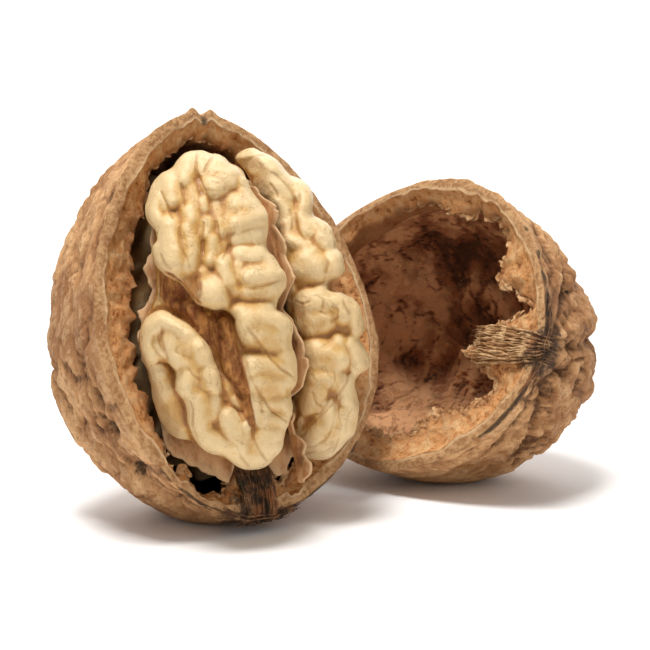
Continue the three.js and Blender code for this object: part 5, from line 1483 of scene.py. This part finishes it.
# Strands follow a path over the rim as (inset, height); the others lie across it, along the seam,
# as (first and last degrees, inset, height).
stalkFibres = {
    "filled": {
        "angles": (259, 262, 265, 268, 271, 274), "middle": 270, "gather": 0.62, "copies": 12, "thickness": 0.13,
        "spread": (0.5, 0.2, 0.4), "waviness": 1.1, "seed": 3, "paleFrom": 1.2,
        "path": [(-0.3, -1.8), (-0.2, -0.5), (0.1, 0.12), (0.9, 0.3), (2.2, 0.18), (3.4, -0.1), (4.6, -0.6),
                 (5.3, -1.3)],
        "across": [(256, 284, 0.05, 0.1), (252, 266, -0.1, -0.1)]},
    "empty": {
        "angles": (261, 265, 269, 273, 277, 280), "middle": 270, "gather": 0.3, "copies": 8, "thickness": 0.16,
        "spread": (0.7, 0.3, 0.6), "waviness": 1.4, "seed": 8, "paleFrom": 0.3,
        "path": [(-0.35, -1.8), (-0.25, -0.5), (0.1, 0.15), (1.4, 0.35), (3.0, 0.2), (5.0, -0.1), (7.0, -0.45),
                 (9.0, -0.9), (10.0, -1.2)],
        "across": [(256, 290, 0.02, 0.08), (250, 272, -0.1, -0.2)]},
}
seamFibres = {"thickness": 0.11, "spread": (0.45, 0.2, 0.35), "waviness": 1.2, "paleFrom": 1.3}
# As (first and last degrees, how many, size).
tornFlakes = {
    "filled": [(198, 256, 36, 1.0), (276, 312, 20, 0.9), (58, 122, 26, 0.7), (122, 198, 34, 0.6)],
    "empty": [(150, 256, 50, 0.9), (256, 284, 26, 0.9), (284, 345, 40, 1.1), (345, 400, 26, 0.8)],
}


def fibrePiece(half, label, lines, change, strands, finish):
    c = {**stalkFibres[half["detail"]], **change}
    settings = {"Copies": c["copies"], "Thickness": c["thickness"], "Spread": c["spread"],
                "Waviness": c["waviness"], "Seed": c["seed"], "Finish": finish}
    name = half["detail"] + "_" + label + "_fibres"
    return growPiece(name, half, guideMesh(label + "Guide", lines), strands, settings)


def stalkPiece(half, strands, finish):
    c = stalkFibres[half["detail"]]
    lines = [overRim(half, degrees, c["path"], c["middle"], c["gather"]) for degrees in c["angles"]]
    return fibrePiece(half, "stalk", lines, {}, strands, finish)


def seamPiece(half, strands, finish):
    c = stalkFibres[half["detail"]]
    lines = [[overRim(half, degrees, [(inset, height)])[0] for degrees in np.linspace(first, last, 14)]
             for first, last, inset, height in c["across"]]
    return fibrePiece(half, "seam", lines, {**seamFibres, "seed": c["seed"] + 1}, strands, finish)


def flakePiece(half, flakes, finish):
    made = []
    for index, (first, last, count, size) in enumerate(tornFlakes[half["detail"]]):
        line, aim, lift = lipGuide(half, first, last)
        settings = {"Count": count, "Size": size, "Ragged": 0.9 * size, "Seed": 20 + index, "Finish": finish}
        name = half["detail"] + "_torn_flakes_" + str(index + 1)
        made.append(growPiece(name, half, guideMesh("flakeGuide", [line], [aim], [lift]), flakes, settings))
    return made


def plainMaterial(name, color, roughness):
    material = bpy.data.materials.new(name)
    material.use_nodes = True
    shader = material.node_tree.nodes["Principled BSDF"]
    shader.inputs["Base Color"].default_value = color
    shader.inputs["Roughness"].default_value = roughness
    return material


def dress(piece, node, material):
    piece.data.materials.clear()
    piece.data.materials.append(material)
    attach(piece, "root")
    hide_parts(node)


def makeCamera():
    camera = bpy.data.cameras.new("photoCamera")
    camera.sensor_fit = "HORIZONTAL"
    camera.sensor_width = view["sensor"]
    camera.lens = camera.sensor_width * view["focalPixels"] / view["framePixels"]
    camera.clip_start = view["clipStart"]
    holder = bpy.data.objects.new("photoCamera", camera)
    holder.location = Vector((cameraSpot - originShift) * millimetre)
    holder.rotation_euler = (math.radians(90.0 - view["leanDegrees"]), 0.0, 0.0)
    bpy.context.scene.collection.objects.link(holder)
    bpy.context.scene.camera = holder


studio = {"halfWidth": 3.0, "front": -2.5, "bendFrom": 1.0, "bendRadius": 1.2, "top": 3.2,
          "floor": rgb(0.93, 0.92, 0.91), "world": rgb(1.0, 0.99, 0.98), "worldStrength": 0.36,
          "roughness": 0.9, "bendSteps": 24}
# Each light as where it is, what it faces, its width in metres and its watts.
lights = {
    "keyLight": ((-0.06, -0.085, 0.40), (0, 0, 0.02), 0.14, 1.9),
    "fillLight": ((0.3, -0.2, 0.22), (0, 0, 0.02), 0.3, 0.2),
    "backdropLight": ((0.0, 0.9, 1.5), (0.0, 2.2, 0.45), 1.4, 42.0),
}


def makeLight(name, spot, target, size, watts):
    light = bpy.data.lights.new(name, "AREA")
    light.shape = "SQUARE"
    light.size = size
    light.energy = watts
    holder = bpy.data.objects.new(name, light)
    holder.location = spot
    direction = Vector(target) - Vector(spot)
    holder.rotation_euler = direction.to_track_quat("-Z", "Y").to_euler()
    bpy.context.scene.collection.objects.link(holder)


def makeStudio():
    wide, bend = studio["halfWidth"], studio["bendRadius"]
    profile = [(studio["front"], 0.0)]
    for k in range(studio["bendSteps"] + 1):
        turn = math.radians(90.0 * k / studio["bendSteps"])
        profile.append((studio["bendFrom"] + bend * math.sin(turn), bend * (1.0 - math.cos(turn))))
    profile.append((studio["bendFrom"] + bend, studio["top"]))
    points = [(side * wide, y, z) for y, z in profile for side in (-1, 1)]
    faces = [(2 * k, 2 * k + 1, 2 * k + 3, 2 * k + 2) for k in range(len(profile) - 1)]
    mesh = bpy.data.meshes.new("floor")
    mesh.from_pydata(points, [], faces)
    mesh.polygons.foreach_set("use_smooth", np.ones(len(faces), dtype=bool))
    floor = bpy.data.objects.new("floor", mesh)
    floor.data.materials.append(plainMaterial("paleFloor", studio["floor"], studio["roughness"]))
    bpy.context.scene.collection.objects.link(floor)
    world = bpy.data.worlds.new("studioWorld")
    world.use_nodes = True
    background = world.node_tree.nodes["Background"]
    background.inputs["Color"].default_value = studio["world"]
    background.inputs["Strength"].default_value = studio["worldStrength"]
    bpy.context.scene.world = world
    for name, settings in lights.items():
        makeLight(name, *settings)
    bpy.context.scene.view_settings.view_transform = "Standard"


print("camera and studio")
makeCamera()
makeStudio()

print("shells")
for half, slot, insideLight in ((filledHalf, "shell_filled", 0.75), (emptyHalf, "shell_empty", 1.0)):
    rings, marks = buildShell(half)
    piece = closedSkin(half["name"] + "_piece", half, rings, marks)
    dress(piece, half["name"], shellMaterial(slot + "Finish", insideLight))

print("stalk fibres and torn flakes")
strands, flakes = strandTree(), flakeTree()
flakeDress = flakeMaterial("flakeFinish")
seamDress = fibreMaterial("seamFibreFinish", seamFibres["paleFrom"])
for half, slot in ((filledHalf, "shell_filled"), (emptyHalf, "shell_empty")):
    fibreDress = fibreMaterial(half["detail"] + "FibreFinish", stalkFibres[half["detail"]]["paleFrom"])
    fibres = [stalkPiece(half, strands, fibreDress), seamPiece(half, strands, seamDress)]
    for piece in fibres + flakePiece(half, flakes, flakeDress):
        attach(piece, "root")

print("kernel")
picture = kernelMaps()
dress(kernelPiece("kernel_front_piece", frontKernelBlock(picture), picture), "kernel_front",
      kernelMaterial("kernelFinish", 0.0))
# The back kernel, in the shade behind the partition, gets painted shade and a duller surface.
dress(kernelPiece("kernel_back_piece", backKernelBlock()), "kernel_back",
      kernelMaterial("backKernelFinish", 0.8))

print("partition and web")
dress(septumSheet(), "septum_sheet", sheetMaterial("partitionFinish", 0.9))
dress(septumWeb(), "septum_web", sheetMaterial("webFinish", 0.8))
